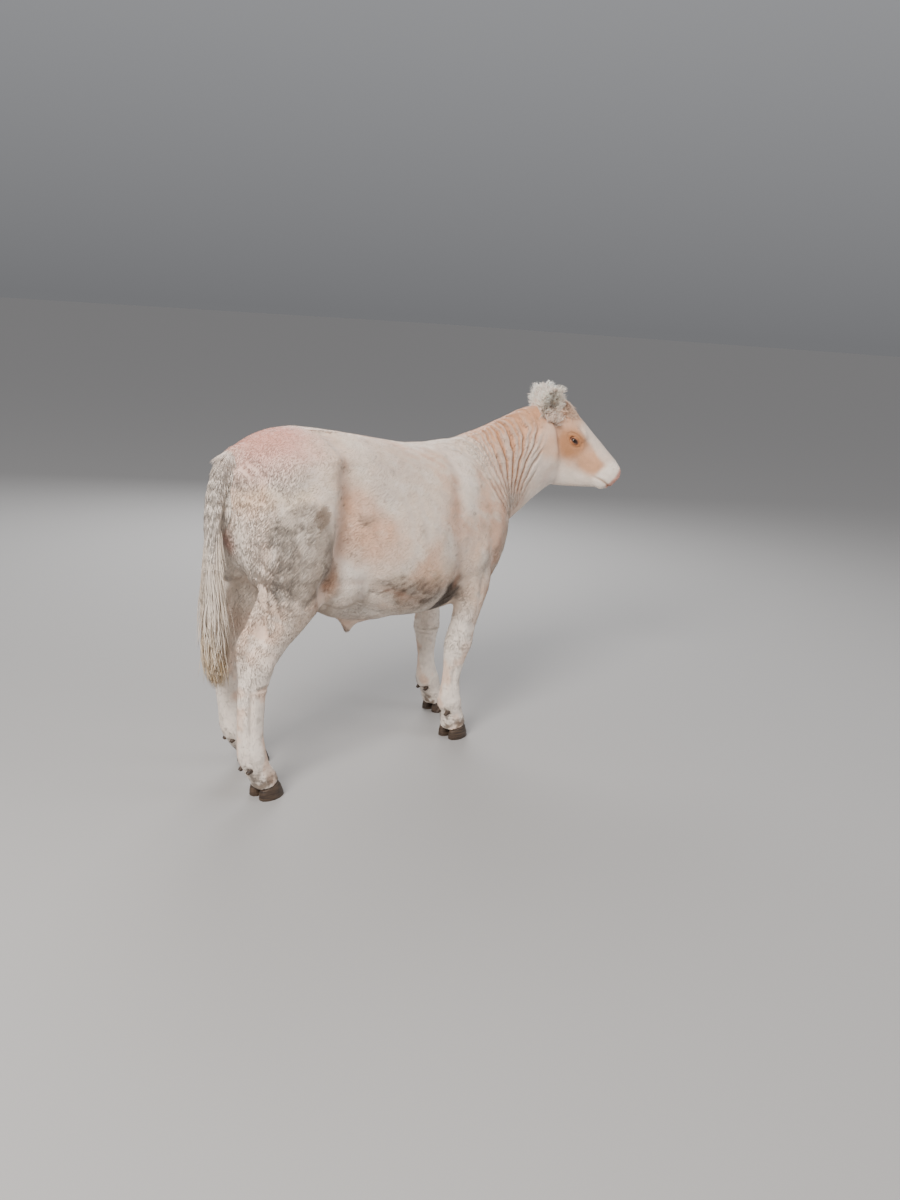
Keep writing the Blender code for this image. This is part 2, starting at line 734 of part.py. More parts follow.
def add_claw(shape, foot_x, foot_y, inward):
    """One claw standing on its flat sole, with its toe forwards and its inner wall straight."""
    rings = []
    for share, toe, heel, half_width in CLAW_LEVELS:
        ring = []
        for step in range(CLAW_SIDES):
            angle = 2 * math.pi * step / CLAW_SIDES
            forward = math.cos(angle)
            x = (toe if forward >= 0 else heel) * rounded(forward, 2.2)
            towards_toe = max(0.0, x / CLAW_TOE)
            y = half_width * rounded(math.sin(angle), 2.6) * (1 - CLAW_NARROWING * towards_toe**1.5)
            if y * inward > 0:
                y *= CLAW_INNER_WALL
            y += inward * CLAW_TOE_TURN * towards_toe**2
            coronet = CORONET_FRONT + CORONET_SLOPE * (x - CORONET_PLACE) - GAP
            ring.append(shape.verts.new((foot_x + x, foot_y + y, share * coronet)))
        rings.append(ring)
    close_tube(shape, rings)


def make_claws(kind, side, foot, collection):
    made = []
    for word, outward in (("outer", 1), ("inner", -1)):
        shape = bmesh.new()
        y = side * (foot[1] + outward * CLAW_SPREAD)
        add_claw(shape, foot[0], y, -side * outward)
        made.append(mesh_object(f"claw_{kind}_{SIDE_NAMES[side]}_{word}", shape, collection))
    return made


def trim_foot(lower, foot, cutters):
    """Ends the leg's flesh at the sloping coronet."""
    point = (foot[0] + CORONET_PLACE, 0, CORONET_FRONT)
    cut_with(lower, half_space("cut", point, (-CORONET_SLOPE, 0, 1), cutters), "INTERSECT")


def make_dewclaws(kind, side, lower, ankle, animal, cutters):
    """Two horn cones behind the fetlock, sunk into shallow pits of their own size."""
    made = []
    for word, outward in (("outer", 1), ("inner", -1)):
        y = side * (ankle[1] + outward * DEWCLAW_SPREAD)
        place = Matrix.Translation((ankle[0], y, ankle[2]))
        tilt = place @ Matrix.Rotation(math.radians(DEWCLAW_TILT), 4, "Y")
        for grow in (GAP, 0.0):
            shape = bmesh.new()
            bmesh.ops.create_cone(
                shape,
                cap_ends=True,
                segments=12,
                radius1=DEWCLAW_RADIUS + grow,
                radius2=DEWCLAW_RADIUS * DEWCLAW_TAPER + grow,
                depth=DEWCLAW_LENGTH + 2 * grow,
                matrix=tilt,
            )
            name = f"dewclaw_{kind}_{SIDE_NAMES[side]}_{word}"
            cone = mesh_object("cut" if grow else name, shape, cutters if grow else animal)
            if grow:
                cut_with(lower, cone, "DIFFERENCE")
            else:
                made.append(cone)
    return made


def make_eye(side, head, animal, cutters):
    """The eyeball in a socket of its own size."""
    x, y, z = EYE_PLACE
    centre = head_matrix() @ Vector((x, side * y, z))
    for grow in (GAP, 0.0):
        shape = bmesh.new()
        turn = Matrix.Translation(centre) @ head_matrix().to_3x3().to_4x4() @ Matrix.Rotation(math.pi / 2, 4, "X")
        bmesh.ops.create_uvsphere(shape, u_segments=14, v_segments=9, radius=EYE_RADIUS + grow, matrix=turn)
        ball = mesh_object("cut" if grow else f"eye_{SIDE_NAMES[side]}", shape, cutters if grow else animal)
        if grow:
            cut_with(head, ball, "DIFFERENCE")
    return ball


def add_lock(root, lie, out, size, sway, collection, segments=4, sink=LOCK_SINK):
    """Makes one lock. It leaves its sunk root along out, bends over to its lie, and sways across it. The
    longer out is, the higher the lock stands before it bends."""
    length, width = size
    across = lie.cross(out).normalized()
    shape = bmesh.new()
    point = root - out.normalized() * sink
    rings = []
    for step in range(segments):
        t = step / segments
        ahead = (lie * (0.25 + t) + out * (1 - t) ** 2 + across * sway * math.cos(5 * t)).normalized()
        flat = ahead.cross(across).normalized()
        half = width / 2 * (0.72 + 0.9 * t - 1.25 * t * t)
        offsets = (across * half, flat * half * LOCK_FLATNESS, across * -half, flat * -half * LOCK_FLATNESS)
        rings.append([shape.verts.new(point + offset) for offset in offsets])
        point = point + ahead * ((length + sink) / segments)
    tip = shape.verts.new(point)
    for lower, upper in zip(rings, rings[1:]):
        for k in range(4):
            shape.faces.new((lower[k], lower[(k + 1) % 4], upper[(k + 1) % 4], upper[k]))
    for k in range(4):
        shape.faces.new((rings[-1][k], rings[-1][(k + 1) % 4], tip))
    shape.faces.new(rings[0])
    bmesh.ops.triangulate(shape, faces=shape.faces)
    return mesh_object("lock", shape, collection)


def varied(size, draw):
    length, width = size
    return length * draw.uniform(1 - LOCK_VARIETY, 1 + LOCK_VARIETY), width * draw.uniform(0.85, 1.15)


def make_tuft(head, cutters):
    """Locks over the poll, falling down the forehead and parting to both sides."""
    draw = random.Random(TUFT_SEED)
    place = head_matrix()
    turn = place.to_3x3()
    made = []
    bpy.context.view_layer.update()
    for x, count in TUFT_ROWS:
        for k in range(count):
            aside = (k - (count - 1) / 2) * TUFT_SPACING + draw.uniform(-0.003, 0.003)
            start = place @ Vector((x + draw.uniform(-0.004, 0.004), aside, 0.15))
            hit, root, normal, _ = head.ray_cast(start, turn @ Vector((0, 0, -1)))
            if hit:
                lie = turn @ Vector((1, aside * 14 + draw.uniform(-0.25, 0.25), 0.05))
                sway = draw.uniform(-0.5, 0.5)
                size = varied(TUFT_LOCK, draw)
                made.append(add_lock(root, lie.normalized(), normal * TUFT_LIFT, size, sway, cutters))
    return made


def make_ear_fringe(side, cutters):
    """Locks along both edges of the ear and out of its cup, leaning towards the tip."""
    draw = random.Random(LOCK_SEED + side)
    turn = head_matrix().to_3x3()
    line = Vector((EAR_LINE[0], side * EAR_LINE[1], EAR_LINE[2])).normalized()
    opening = Vector((EAR_OPENING[0], side * EAR_OPENING[1], EAR_OPENING[2]))
    opening = (opening - line * opening.dot(line)).normalized()
    made = []
    for t in EAR_LOCK_PLACES:
        for across in (-1, 1):
            edge = ear_point(side, t, across)
            outward = (edge - ear_point(side, t, across * 0.7)).normalized()
            root = head_matrix() @ (edge - outward * EAR_LOCK_INSET)
            lie = turn @ (outward * 0.55 + line * (0.5 + 0.7 * t)).normalized()
            face = line.cross(outward) * across
            size = varied(EAR_LOCK, draw)
            lift = turn @ face * EAR_LOCK_LIFT * draw.choice((-1, 1))
            made.append(add_lock(root, lie, lift, size, draw.uniform(-0.4, 0.4), cutters, 3, 0))
    for t, across in ((0.26, -0.35), (0.32, 0.35), (0.46, 0.0)):
        root = head_matrix() @ ear_point(side, t, across)
        lie = turn @ (line + opening * 0.30).normalized()
        made.append(add_lock(root, lie, turn @ opening * 0.6, varied(EAR_LOCK, draw), 0.3, cutters, 3, 0))
    return made


def make_switch_locks(cutters):
    """Wavy locks down the tail's end, the lowest reaching its tip."""
    draw = random.Random(LOCK_SEED + 2)
    rows = tail_rows()
    made = []
    for tier, height in enumerate(SWITCH_HEIGHTS):
        x, y, _, thick, _, width, _, _ = min(rows, key=lambda row: abs(row[2] - height))
        for k in range(SWITCH_LOCKS_AROUND):
            angle = 2 * math.pi * (k + 0.5 * (tier % 2)) / SWITCH_LOCKS_AROUND + draw.uniform(-0.3, 0.3)
            out = Vector((thick * math.cos(angle), width * math.sin(angle), 0))
            root = Vector((x, y, height)) + out * 0.85
            length, lock_width = varied(SWITCH_LOCK, draw)
            length = min(length, (height - SWITCH_TIP) * 1.02)
            if tier == len(SWITCH_HEIGHTS) - 1:
                length = height - SWITCH_TIP
            lie = Vector((0.10 + draw.uniform(-0.05, 0.05), draw.uniform(-0.10, 0.10), -1)).normalized()
            size = (length, lock_width)
            sway = draw.uniform(0.15, 0.30) * draw.choice((-1, 1))
            made.append(add_lock(root, lie, out.normalized() * SWITCH_LIFT, size, sway, cutters, 5, 0.004))
    return made


def ear_width(t):
    """Half the ear's width along its length, from a narrow stalk to a rounded tip."""
    stalk = 0.42 + 0.58 * ramp(t, 0.0, 0.38)
    tip = math.sqrt(max(0.0, 1 - max(0.0, (t - 0.45) / 0.56) ** 2.4))
    return EAR_WIDTH / 2 * stalk * tip


def ear_point(side, t, across):
    """A point of the ear's middle sheet: t runs from root to tip, and across from edge to edge."""
    line = Vector((EAR_LINE[0], side * EAR_LINE[1], EAR_LINE[2])).normalized()
    opening = Vector((EAR_OPENING[0], side * EAR_OPENING[1], EAR_OPENING[2]))
    opening = (opening - line * opening.dot(line)).normalized()
    edge = line.cross(opening)
    root = Vector((EAR_ROOT[0], side * EAR_ROOT[1], EAR_ROOT[2]))
    width = ear_width(t)
    cup = EAR_CUP * (1 - 0.45 * t) * (width / (EAR_WIDTH / 2))
    curl = 1 - 0.22 * (1 - t)
    along = line * (EAR_LENGTH * t) + opening * (0.018 * t * t)
    return root + along + edge * (width * across * curl) + opening * (cup * (across * across - 0.6))


def swollen(item, collection):
    """A copy grown outwards by the gap, to cut what meets this piece."""
    made = copy_of(item, "cut", collection)
    normals = [vertex.normal.copy() for vertex in made.data.vertices]
    for vertex, normal in zip(made.data.vertices, normals):
        vertex.co += normal * GAP
    made.data.update()
    return made


def make_ear(side, neighbours, animal, cutters):
    """A cupped leaf with thickness, whose stalk ends on the head."""
    shape = bmesh.new()
    rows = []
    for step in range(EAR_ROWS + 1):
        t = 0.995 * step / EAR_ROWS
        places = [2 * k / EAR_COLUMNS - 1 for k in range(EAR_COLUMNS + 1)]
        rows.append([shape.verts.new(ear_point(side, t, across)) for across in places])
    for lower, upper in zip(rows, rows[1:]):
        for k in range(EAR_COLUMNS):
            shape.faces.new((lower[k], lower[k + 1], upper[k + 1], upper[k]))
    shape.transform(head_matrix())
    ear = mesh_object(f"ear_{SIDE_NAMES[side]}", shape, animal)
    thick = ear.modifiers.new("Solidify", "SOLIDIFY")
    thick.thickness = EAR_THICKNESS
    thick.offset = 0
    thick.use_even_offset = True
    apply_modifiers(ear)
    combine_all(ear, make_ear_fringe(side, cutters), cutters)
    for neighbour in neighbours:
        cut_with(ear, swollen(neighbour, cutters), "DIFFERENCE")
    return ear


def tail_rows():
    return [(x, y, z, thick, thick, width, 2.0, 2.0) for x, y, z, thick, width in smooth_rows(TAIL, 2)]


def make_tail(body, animal, cutters):
    """The dock and its hanging shaft, ending on the rump, and the switch with its locks below it."""
    shape = bmesh.new()
    loft(shape, tail_rows(), 12)
    tail = mesh_object("tail", shape, animal)
    switch = copy_of(tail, "tail_switch", animal)
    place = (0, 0, SWITCH_START)
    cut_with(tail, half_space("cut", place, (0, 0, 1), cutters, GAP / 2), "INTERSECT")
    cut_with(switch, half_space("cut", place, (0, 0, -1), cutters, GAP / 2), "INTERSECT")
    combine_all(switch, make_switch_locks(cutters), cutters)
    cut_with(tail, swollen(body, cutters), "DIFFERENCE")
    return tail, switch


def cut_mouth_and_nostrils(head, cutters):
    """The line of the mouth as a thin curved slot, and the two nostrils as slanting hollows."""
    place = head_matrix()
    shape = bmesh.new()
    x, y, z = NOSTRIL_PLACE
    tilt, turn = NOSTRIL_TURNS
    for side in (RIGHT, LEFT):
        blob(shape, (x, side * y, z), NOSTRIL_RADII, tilt, side * turn, 12)
    shape.transform(place)
    cut_with(head, mesh_object("cut", shape, cutters), "DIFFERENCE")
    shape = bmesh.new()
    rings = []
    for step in range(MOUTH_STEPS + 1):
        angle = math.pi * (step / MOUTH_STEPS - 0.5)
        level = MOUTH_LEVEL - MOUTH_DROOP * (1 - math.cos(angle))
        ring = []
        for (reach, half_width), opening in zip((MOUTH_INNER, MOUTH_OUTER), MOUTH_OPENINGS):
            x = MOUTH_BACK + reach * math.cos(angle) ** 0.7
            y = half_width * math.sin(angle)
            rises = (-opening, opening) if not ring else (opening, -opening)
            ring += [shape.verts.new((x, y, level + rise)) for rise in rises]
        rings.append(ring)
    close_tube(shape, rings)
    shape.transform(place)
    cut_with(head, mesh_object("cut", shape, cutters), "DIFFERENCE")


def make_lids(side, cutters):
    """Upper and lower lid as one oval ring of flesh round the eye."""
    x, y, z = EYE_PLACE
    half_long, half_high = LID_OPENING
    shape = bmesh.new()
    loops = []
    for step in range(LID_SEGMENTS):
        angle = 2 * math.pi * step / LID_SEGMENTS
        outward = Vector((math.cos(angle), 0, math.sin(angle)))
        stand = side * (y + LID_STAND - LID_CORNER * abs(math.cos(angle)))
        centre = Vector((x + half_long * outward.x, stand, z + half_high * outward.z))
        loop = []
        for k in range(LID_SIDES):
            bend = 2 * math.pi * k / LID_SIDES
            swell = outward * math.cos(bend) + Vector((0, 1.2 * math.sin(bend), 0))
            loop.append(shape.verts.new(centre + swell * LID_RADIUS))
        loops.append(loop)
    for first, second in zip(loops, loops[1:] + loops[:1]):
        for k in range(LID_SIDES):
            after = (k + 1) % LID_SIDES
            shape.faces.new((first[k], first[after], second[after], second[k]))
    shape.transform(head_matrix())
    return mesh_object("lid", shape, cutters)


def move_to_origin(items):
    """Puts the origin under the middle of the whole animal's bounding box."""
    bpy.context.view_layer.update()
    corners = np.array([item.matrix_world @ v.co for item in items for v in item.data.vertices])
    low = corners.min(axis=0)
    high = corners.max(axis=0)
    shift = Vector((-(low[0] + high[0]) / 2, -(low[1] + high[1]) / 2, -low[2]))
    for item in items:
        item.data.transform(Matrix.Translation(shift))
    return shift


def finish_look(items):
    finishes = {
        "claw": material("horn_claw", HORN),
        "dewclaw": material("horn_dewclaw", HORN),
        "eye": material("wet_eye", EYE_BROWN),
        "neck": material("tan_coat", TAN),
        "head": material("tan_face", TAN),
        "tail": material("white_tail", WHITE),
        "ear": material("white_ear", WHITE),
    }
    plain = material("cream_coat", CREAM)
    for item in items:
        word = item.name.split("_")[0]
        item.data.materials.clear()
        item.data.materials.append(finishes.get(word, plain))
        item.data.shade_smooth()
        item.data.set_sharp_from_angle(angle=math.radians(40))


def main():
    clear_scene()
    animal = new_collection("charolais")
    cutters = new_collection("cutters")

    body = whole_flesh(animal)
    head = part_head(body, animal, cutters)
    neck = part_neck(body, animal, cutters)
    legs = part_legs(body, animal, cutters)

    pieces = [body, head, neck, *legs]
    combine_all(head, [make_lids(side, cutters) for side in (RIGHT, LEFT)] + make_tuft(head, cutters), cutters)
    for side in (RIGHT, LEFT):
        pieces.append(make_eye(side, head, animal, cutters))
        pieces.append(make_ear(side, (head, neck), animal, cutters))
    cut_mouth_and_nostrils(head, cutters)
    pieces += make_tail(body, animal, cutters)

    feet = (("fore", FORE_FOOT, "cannon", FORE_LEG), ("hind", HIND_FOOT, "shank", HIND_LEG))
    for kind, places, lower_word, table in feet:
        for side in (RIGHT, LEFT):
            lower = bpy.data.objects[f"{kind}_{lower_word}_{SIDE_NAMES[side]}"]
            foot = places[side]
            trim_foot(lower, foot, cutters)
            rows = leg_rows(table, side, foot, places[RIGHT])
            pastern = min(rows, key=lambda row: abs(row[2] - DEWCLAW_HEIGHT))
            ankle = (pastern[0] - pastern[4] - DEWCLAW_STAND, abs(pastern[1]), DEWCLAW_HEIGHT)
            pieces += make_dewclaws(kind, side, lower, ankle, animal, cutters)
            pieces += make_claws(kind, side, foot, animal)

    for item in pieces:
        tidy(item)
    finish_look(pieces)
    return move_to_origin(pieces)


SHIFT = main()
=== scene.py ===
"""The look of a young charolais standing still: skin, short coat, long locks, eyes, hooves, light and camera.

Places are given in the animal's working frame, measured from the floor midway between its feet. ORIGIN moves
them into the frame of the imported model. A table of places on one side is used for both, mirrored.
"""

import math

import bmesh
import bpy
import numpy as np
from mathutils import Matrix, Vector
from mathutils.bvhtree import BVHTree


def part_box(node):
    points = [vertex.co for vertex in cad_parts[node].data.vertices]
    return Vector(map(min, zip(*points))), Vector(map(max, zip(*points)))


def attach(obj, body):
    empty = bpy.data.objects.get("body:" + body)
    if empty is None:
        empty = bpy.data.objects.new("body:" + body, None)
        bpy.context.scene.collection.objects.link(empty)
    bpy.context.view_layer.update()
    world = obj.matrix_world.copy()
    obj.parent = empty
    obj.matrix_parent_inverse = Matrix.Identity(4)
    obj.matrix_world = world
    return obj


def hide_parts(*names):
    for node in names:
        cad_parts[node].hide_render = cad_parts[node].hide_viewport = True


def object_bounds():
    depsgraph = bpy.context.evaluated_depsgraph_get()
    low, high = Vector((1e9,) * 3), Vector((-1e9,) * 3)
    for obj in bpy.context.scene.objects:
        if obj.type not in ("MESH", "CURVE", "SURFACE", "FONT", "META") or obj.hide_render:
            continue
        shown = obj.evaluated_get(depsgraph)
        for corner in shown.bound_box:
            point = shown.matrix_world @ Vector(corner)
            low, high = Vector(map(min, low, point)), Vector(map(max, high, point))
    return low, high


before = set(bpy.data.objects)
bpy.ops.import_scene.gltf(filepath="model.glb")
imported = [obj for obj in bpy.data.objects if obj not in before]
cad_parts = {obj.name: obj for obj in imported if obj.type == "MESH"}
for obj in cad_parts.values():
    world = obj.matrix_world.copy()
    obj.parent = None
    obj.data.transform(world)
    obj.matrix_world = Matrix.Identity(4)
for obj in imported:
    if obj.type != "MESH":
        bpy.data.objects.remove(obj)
CAD_BOX = [list(corner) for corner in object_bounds()]
LOW = np.array(CAD_BOX[0])
HIGH = np.array(CAD_BOX[1])

RIGHT = -1
LEFT = 1
SIDE_NAMES = {RIGHT: "right", LEFT: "left"}

# Where the outer claw of the right forefoot starts: ahead of the working frame's middle, and to the right
CLAW_BACK = 0.386 - 0.045
CLAW_SIDE = 0.143 + 0.0262 + 0.0238
claw_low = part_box("claw_fore_right_outer")[0]
ORIGIN = np.array((claw_low[0] - CLAW_BACK, claw_low[1] + CLAW_SIDE, 0.0))

# Camera in the working frame, with its focal length in the photograph's pixels
CAMERA_PLACE = (-2.648, -2.953, 1.584)
CAMERA_FOCUS = 1120.0
PICTURE_HEIGHT = 1200
FILM_HEIGHT = 24
CAMERA_ROLL = math.atan(0.0664)
CAMERA_PITCH = math.radians(14.1)
CAMERA_YAW = math.radians(46.58)

# The head's own frame: +X down the face, +Y to its left, +Z out of the forehead
POLL = Vector((0.955, -0.085, 1.298))
HEAD_TURN = math.radians(-43)
HEAD_TIP = math.radians(42)
# Planes where head and neck start: a point and the direction ahead
HEAD_CUT = ((0.854, -0.056, 1.151), (0.82, -0.53, -0.20))
NECK_CUT = ((0.600, 0.0, 1.030), (0.80, 0.0, 0.60))
# The eye's opening: half length, height above and below its middle
EYE_RADIUS = 0.0172
EYE_PLACE = (0.148, 0.0700, -0.080)
EYE_OPENING = (0.0158, 0.0086, 0.0070)
PUPIL_SIZE = (0.0075, 0.0038)
# Middle of the nostril, aside and up, and its half width and height
NOSTRIL_PLACE = (0.034, -0.060)
NOSTRIL_SIZE = (0.0125, 0.0085)
EAR_LENGTH = 0.142
EAR_WIDTH = 0.084
EAR_CUP = 0.026
EAR_THICKNESS = 0.0036
EAR_GRID = (36, 24)
EAR_ROOT = (0.002, 0.076, -0.098)
EAR_LINE = (-0.60, 0.52, 0.61)
EAR_OPENING = (0.55, 0.75, 0.10)
# The crown of the head, without its tuft: distance from the poll, top, half width, height of the widest line
CROWN = (
    (-0.045, -0.034, 0.068, -0.100),
    (-0.010, -0.008, 0.080, -0.090),
    (0.035, 0.002, 0.086, -0.080),
    (0.095, 0.006, 0.088, -0.078),
    (0.155, 0.004, 0.080, -0.076),
)
CROWN_SHARE = 0.93
# The middle line of the tail: x, z, half thickness, half width. It hangs from the third place on
TAIL = (
    (-0.480, 1.132, 0.022, 0.030),
    (-0.540, 1.134, 0.026, 0.034),
    (-0.590, 1.106, 0.028, 0.036),
    (-0.622, 1.045, 0.026, 0.036),
    (-0.640, 0.960, 0.024, 0.036),
    (-0.645, 0.860, 0.022, 0.034),
    (-0.645, 0.760, 0.020, 0.030),
    (-0.642, 0.690, 0.018, 0.025),
    (-0.638, 0.610, 0.015, 0.021),
    (-0.633, 0.550, 0.012, 0.016),
    (-0.629, 0.505, 0.005, 0.007),
)
HANGING_TAIL = np.array(TAIL)[2:]
# The coat's tail region: how far it reaches from the middle line, its lowest and its foremost place
TAIL_REACH = (0.034, 0.042)
TAIL_LOW = 0.745
TAIL_FRONT = -0.585
SWITCH_TOP = 0.76
SWITCH_TIP = 0.345
CORE_RINGS = 30
CORE_STEPS = 20

# How skin and coat are built, in metres
WELD = 0.00001
CUT_CLOSING = 0.0006
SKIN_VOXEL = 0.0062
LOWEST_SKIN = 0.030
COAT_DEPTH = 0.0045
FACE_DEPTH = 0.0020
COAT_LENGTH = 0.0165
FACE_LENGTH = 0.0080
COAT_WIDTH = 0.0041
FACE_WIDTH = 0.0032
SUNK_ROOT = 0.002
HORN_TOP = 0.068
HORN_RIDGE = 0.0085
NOSE_START = 0.372
# The coat counts as long where it is this wavy
LONG_COAT = 0.25
MOST_SHORT_TUFTS = 48000
MOST_LONG_TUFTS = 19000

# How pale a strand is at its root and tip, and how large its patch on the map is. The darker root is painted
# shade, where the strands shade each other
COAT_ROOT_SHADE = 0.90
EAR_ROOT_SHADE = 0.84
TUFT_ROOT_SHADE = 0.68
SWITCH_ROOT_SHADE = 0.76
TIP_SHADE = 1.06
STRAND_PATCH = 0.0015

# How many strands grow in each place of long hair
EAR_FUR = 2400
EAR_LOCKS = 2700
EAR_BASE = 1100
POLL_TUFT = 2500
SWITCH_LOCKS = 3000

# The sky's strength low and high, and the lights: name, place, aim, size, power, colour
HORIZON = 0.19
ZENITH = 0.58
LIGHTS = (
    ("key", (-4.5, -1.9, 4.0), (0, 0, 0.7), 2.2, 430, (1.0, 0.96, 0.92)),
    ("fill", (2.8, -4.2, 2.6), (0, 0, 0.7), 3.0, 70, (0.95, 0.96, 1.0)),
    ("back", (2.6, 3.6, 3.4), (0, 0, 0.8), 3.0, 230, (0.97, 0.98, 1.0)),
)

FLESH_NODES = [
    name
    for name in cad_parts
    if name.split("_")[0] in ("torso", "neck", "head", "fore", "hind") or name == "tail"
]


def head_matrix():
    turn = Matrix.Rotation(HEAD_TURN, 4, "Z")
    tip = Matrix.Rotation(HEAD_TIP, 4, "Y")
    return Matrix.Translation(POLL) @ turn @ tip


HEAD_PLACE = np.array(head_matrix())
HEAD_AXES = HEAD_PLACE[:3, :3]


def to_head(points):
    """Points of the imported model's frame in the head's own frame."""
    return (points - ORIGIN - HEAD_PLACE[:3, 3]) @ HEAD_AXES


def from_head(points):
    return points @ HEAD_AXES.T + HEAD_PLACE[:3, 3] + ORIGIN


def mirror(places, side):
    """Places of one side brought over to the left, or back again."""
    return np.asarray(places) * np.array((1, side, 1))


def ramp(values, start, end):
    t = np.clip((values - start) / (end - start), 0, 1)
    return t * t * (3 - 2 * t)


def bell(values, middle, half):
    """One at the middle, falling to nearly nothing at twice this distance."""
    return np.exp(-(((values - middle) / half) ** 2))


def waves(values, length):
    return np.cos(values * 2 * math.pi / length)


def near(points, centre, radii):
    """One at the centre, falling softly to nothing at the ellipsoid's surface."""
    distance = np.linalg.norm((points - np.array(centre)) / np.array(radii), axis=1)
    return 1 - ramp(distance, 0, 1)


def unit(vectors):
    return vectors / np.maximum(np.linalg.norm(vectors, axis=1, keepdims=True), 1e-9)


def noise(points, size, seed=0):
    """Smooth value noise from -1 to 1, with features of this size."""
    place = points / size + seed * 17.31 + 400.0
    cell = np.floor(place).astype(np.int64)
    share = place - cell
    share = share * share * (3 - 2 * share)
    total = np.zeros(len(points))
    for corner in np.ndindex(2, 2, 2):
        at = cell + np.array(corner)
        mixed = (at[:, 0] * 73856093) ^ (at[:, 1] * 19349663) ^ (at[:, 2] * 83492791)
        mixed = ((mixed ^ (mixed >> 13)) * 1274126177) & 0x7FFFFFFF
        value = (mixed >> 7 & 0xFFFF) / 32767.5 - 1
        weight = np.prod(np.where(np.array(corner) == 1, share, 1 - share), axis=1)
        total += weight * value
    return total


def fractal(points, size, seed=0, octaves=3):
    total = np.zeros(len(points))
    for octave in range(octaves):
        total += noise(points, size / 2**octave, seed + octave) / 2**octave
    return total / 1.6


def read_out(items, field, size, kind=float):
    made = np.empty(len(items) * size, kind)
    items.foreach_get(field, made)
    return made.reshape(-1, size)


def coords(mesh):
    return read_out(mesh.vertices, "co", 3)


def normals(mesh):
    return read_out(mesh.vertices, "normal", 3)


def set_coords(mesh, points):
    mesh.vertices.foreach_set("co", points.ravel())
    mesh.update()


def relax(points, edges, passes, weight, steps=(0.60, -0.61)):
    """Smooths the points by turns, in and out. Near equal steps keep the volume."""
    count = np.bincount(edges.ravel(), minlength=len(points))[:, None]
    weight = weight[:, None]
    for _ in range(passes):
        for step in steps:
            total = np.empty_like(points)
            for axis in range(3):
                total[:, axis] = np.bincount(edges[:, 0], points[edges[:, 1], axis], len(points))
                total[:, axis] += np.bincount(edges[:, 1], points[edges[:, 0], axis], len(points))
            points = points + step * weight * (total / count - points)
    return points


def new_object(name, mesh, parent_slot=None):
    item = bpy.data.objects.new(name, mesh)
    bpy.context.scene.collection.objects.link(item)
    if parent_slot:
        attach(item, "root")
    return item


def modified(mesh, kind, **settings):
    """A new mesh, made by one modifier with these settings."""
    item = new_object("draft", mesh)
    modifier = item.modifiers.new(kind, kind)
    for name, value in settings.items():
        setattr(modifier, name, value)
    bpy.context.view_layer.update()
    graph = bpy.context.evaluated_depsgraph_get()
    made = bpy.data.meshes.new_from_object(item.evaluated_get(graph))
    bpy.data.objects.remove(item)
    return made


def opened(mesh, weld=False):
    """A shape to edit, made from a mesh."""
    shape = bmesh.new()
    shape.from_mesh(mesh)
    if weld:
        bmesh.ops.remove_doubles(shape, verts=shape.verts, dist=WELD)
    return shape


def closed(shape, mesh):
    """Writes an edited shape into this mesh and lets it go."""
    shape.to_mesh(mesh)
    shape.free()
    return mesh


def grid_mesh(name, points, columns, around=False, flip=False, caps=()):
    """A mesh of points that lie row after row, with faces between the rows, closed round where asked."""
    faces = []
    for low in range(0, len(points) - columns, columns):
        for k in range(columns if around else columns - 1):
            after = (k + 1) % columns
            quad = (low + k, low + after, low + columns + after, low + columns + k)
            faces.append(quad[::-1] if flip else quad)
    mesh = bpy.data.meshes.new(name)
    mesh.from_pydata(points.tolist(), [], [*faces, *caps])
    return mesh


def paint(mesh, colours):
    """Stores one colour for each vertex, which the materials read as the tint."""
    layer = mesh.color_attributes.new(name="tint", type="FLOAT_COLOR", domain="POINT")
    filled = np.ones((len(colours), 4))
    filled[:, :3] = colours
    layer.data.foreach_set("color", filled.ravel())


def dress(mesh, colours, finish):
    """Smooth shading, tint and material."""
    mesh.shade_smooth()
    paint(mesh, colours)
    mesh.materials.clear()
    mesh.materials.append(finish)


def flatten_crown(points):
    """Presses the tuft's locks down to the bare crown of the head."""
    local = to_head(points)
    table = np.array(CROWN)
    top, half, widest = (np.interp(local[:, 0], table[:, 0], table[:, k]) for k in (1, 2, 3))
    crown = (local[:, 0] > -0.08) & (local[:, 0] < 0.12)
    apart = crown & (np.abs(local[:, 1]) > CROWN_SHARE * half) & (local[:, 2] > -0.045)
    local[apart, 1] = np.sign(local[apart, 1]) * CROWN_SHARE * half[apart]
    side = np.clip(np.abs(local[:, 1]) / half, 0, 1)
    dome = widest + (top - widest) * (1 - side**2.5) ** 0.4 + 0.002
    above = (local[:, 0] > -0.08) & (local[:, 0] < 0.14) & (local[:, 2] > dome) & (side < 0.98)
    local[above, 2] = dome[above]
    return from_head(local)


def swollen_node(name):
    """A flesh node's mesh, swollen just enough to close the cuts between the nodes."""
    shape = opened(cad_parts[name].data, weld=True)
    shape.normal_update()
    for vertex in shape.verts:
        vertex.co += vertex.normal * CUT_CLOSING
    mesh = closed(shape, bpy.data.meshes.new("part"))
    if name == "head":
        set_coords(mesh, flatten_crown(coords(mesh)))
    return mesh


def gather_flesh():
    """All flesh nodes in one closed surface."""
    shape = bmesh.new()
    for name in FLESH_NODES:
        mesh = swollen_node(name)
        shape.from_mesh(mesh)
        bpy.data.meshes.remove(mesh)
    mesh = closed(shape, bpy.data.meshes.new("skin"))
    return modified(mesh, "REMESH", mode="VOXEL", voxel_size=SKIN_VOXEL)


def beyond(points, cut):
    """How far the points lie past a cut's plane."""
    point, normal = cut
    direction = np.array(Vector(normal).normalized())
    return (points - ORIGIN - np.array(point)) @ direction


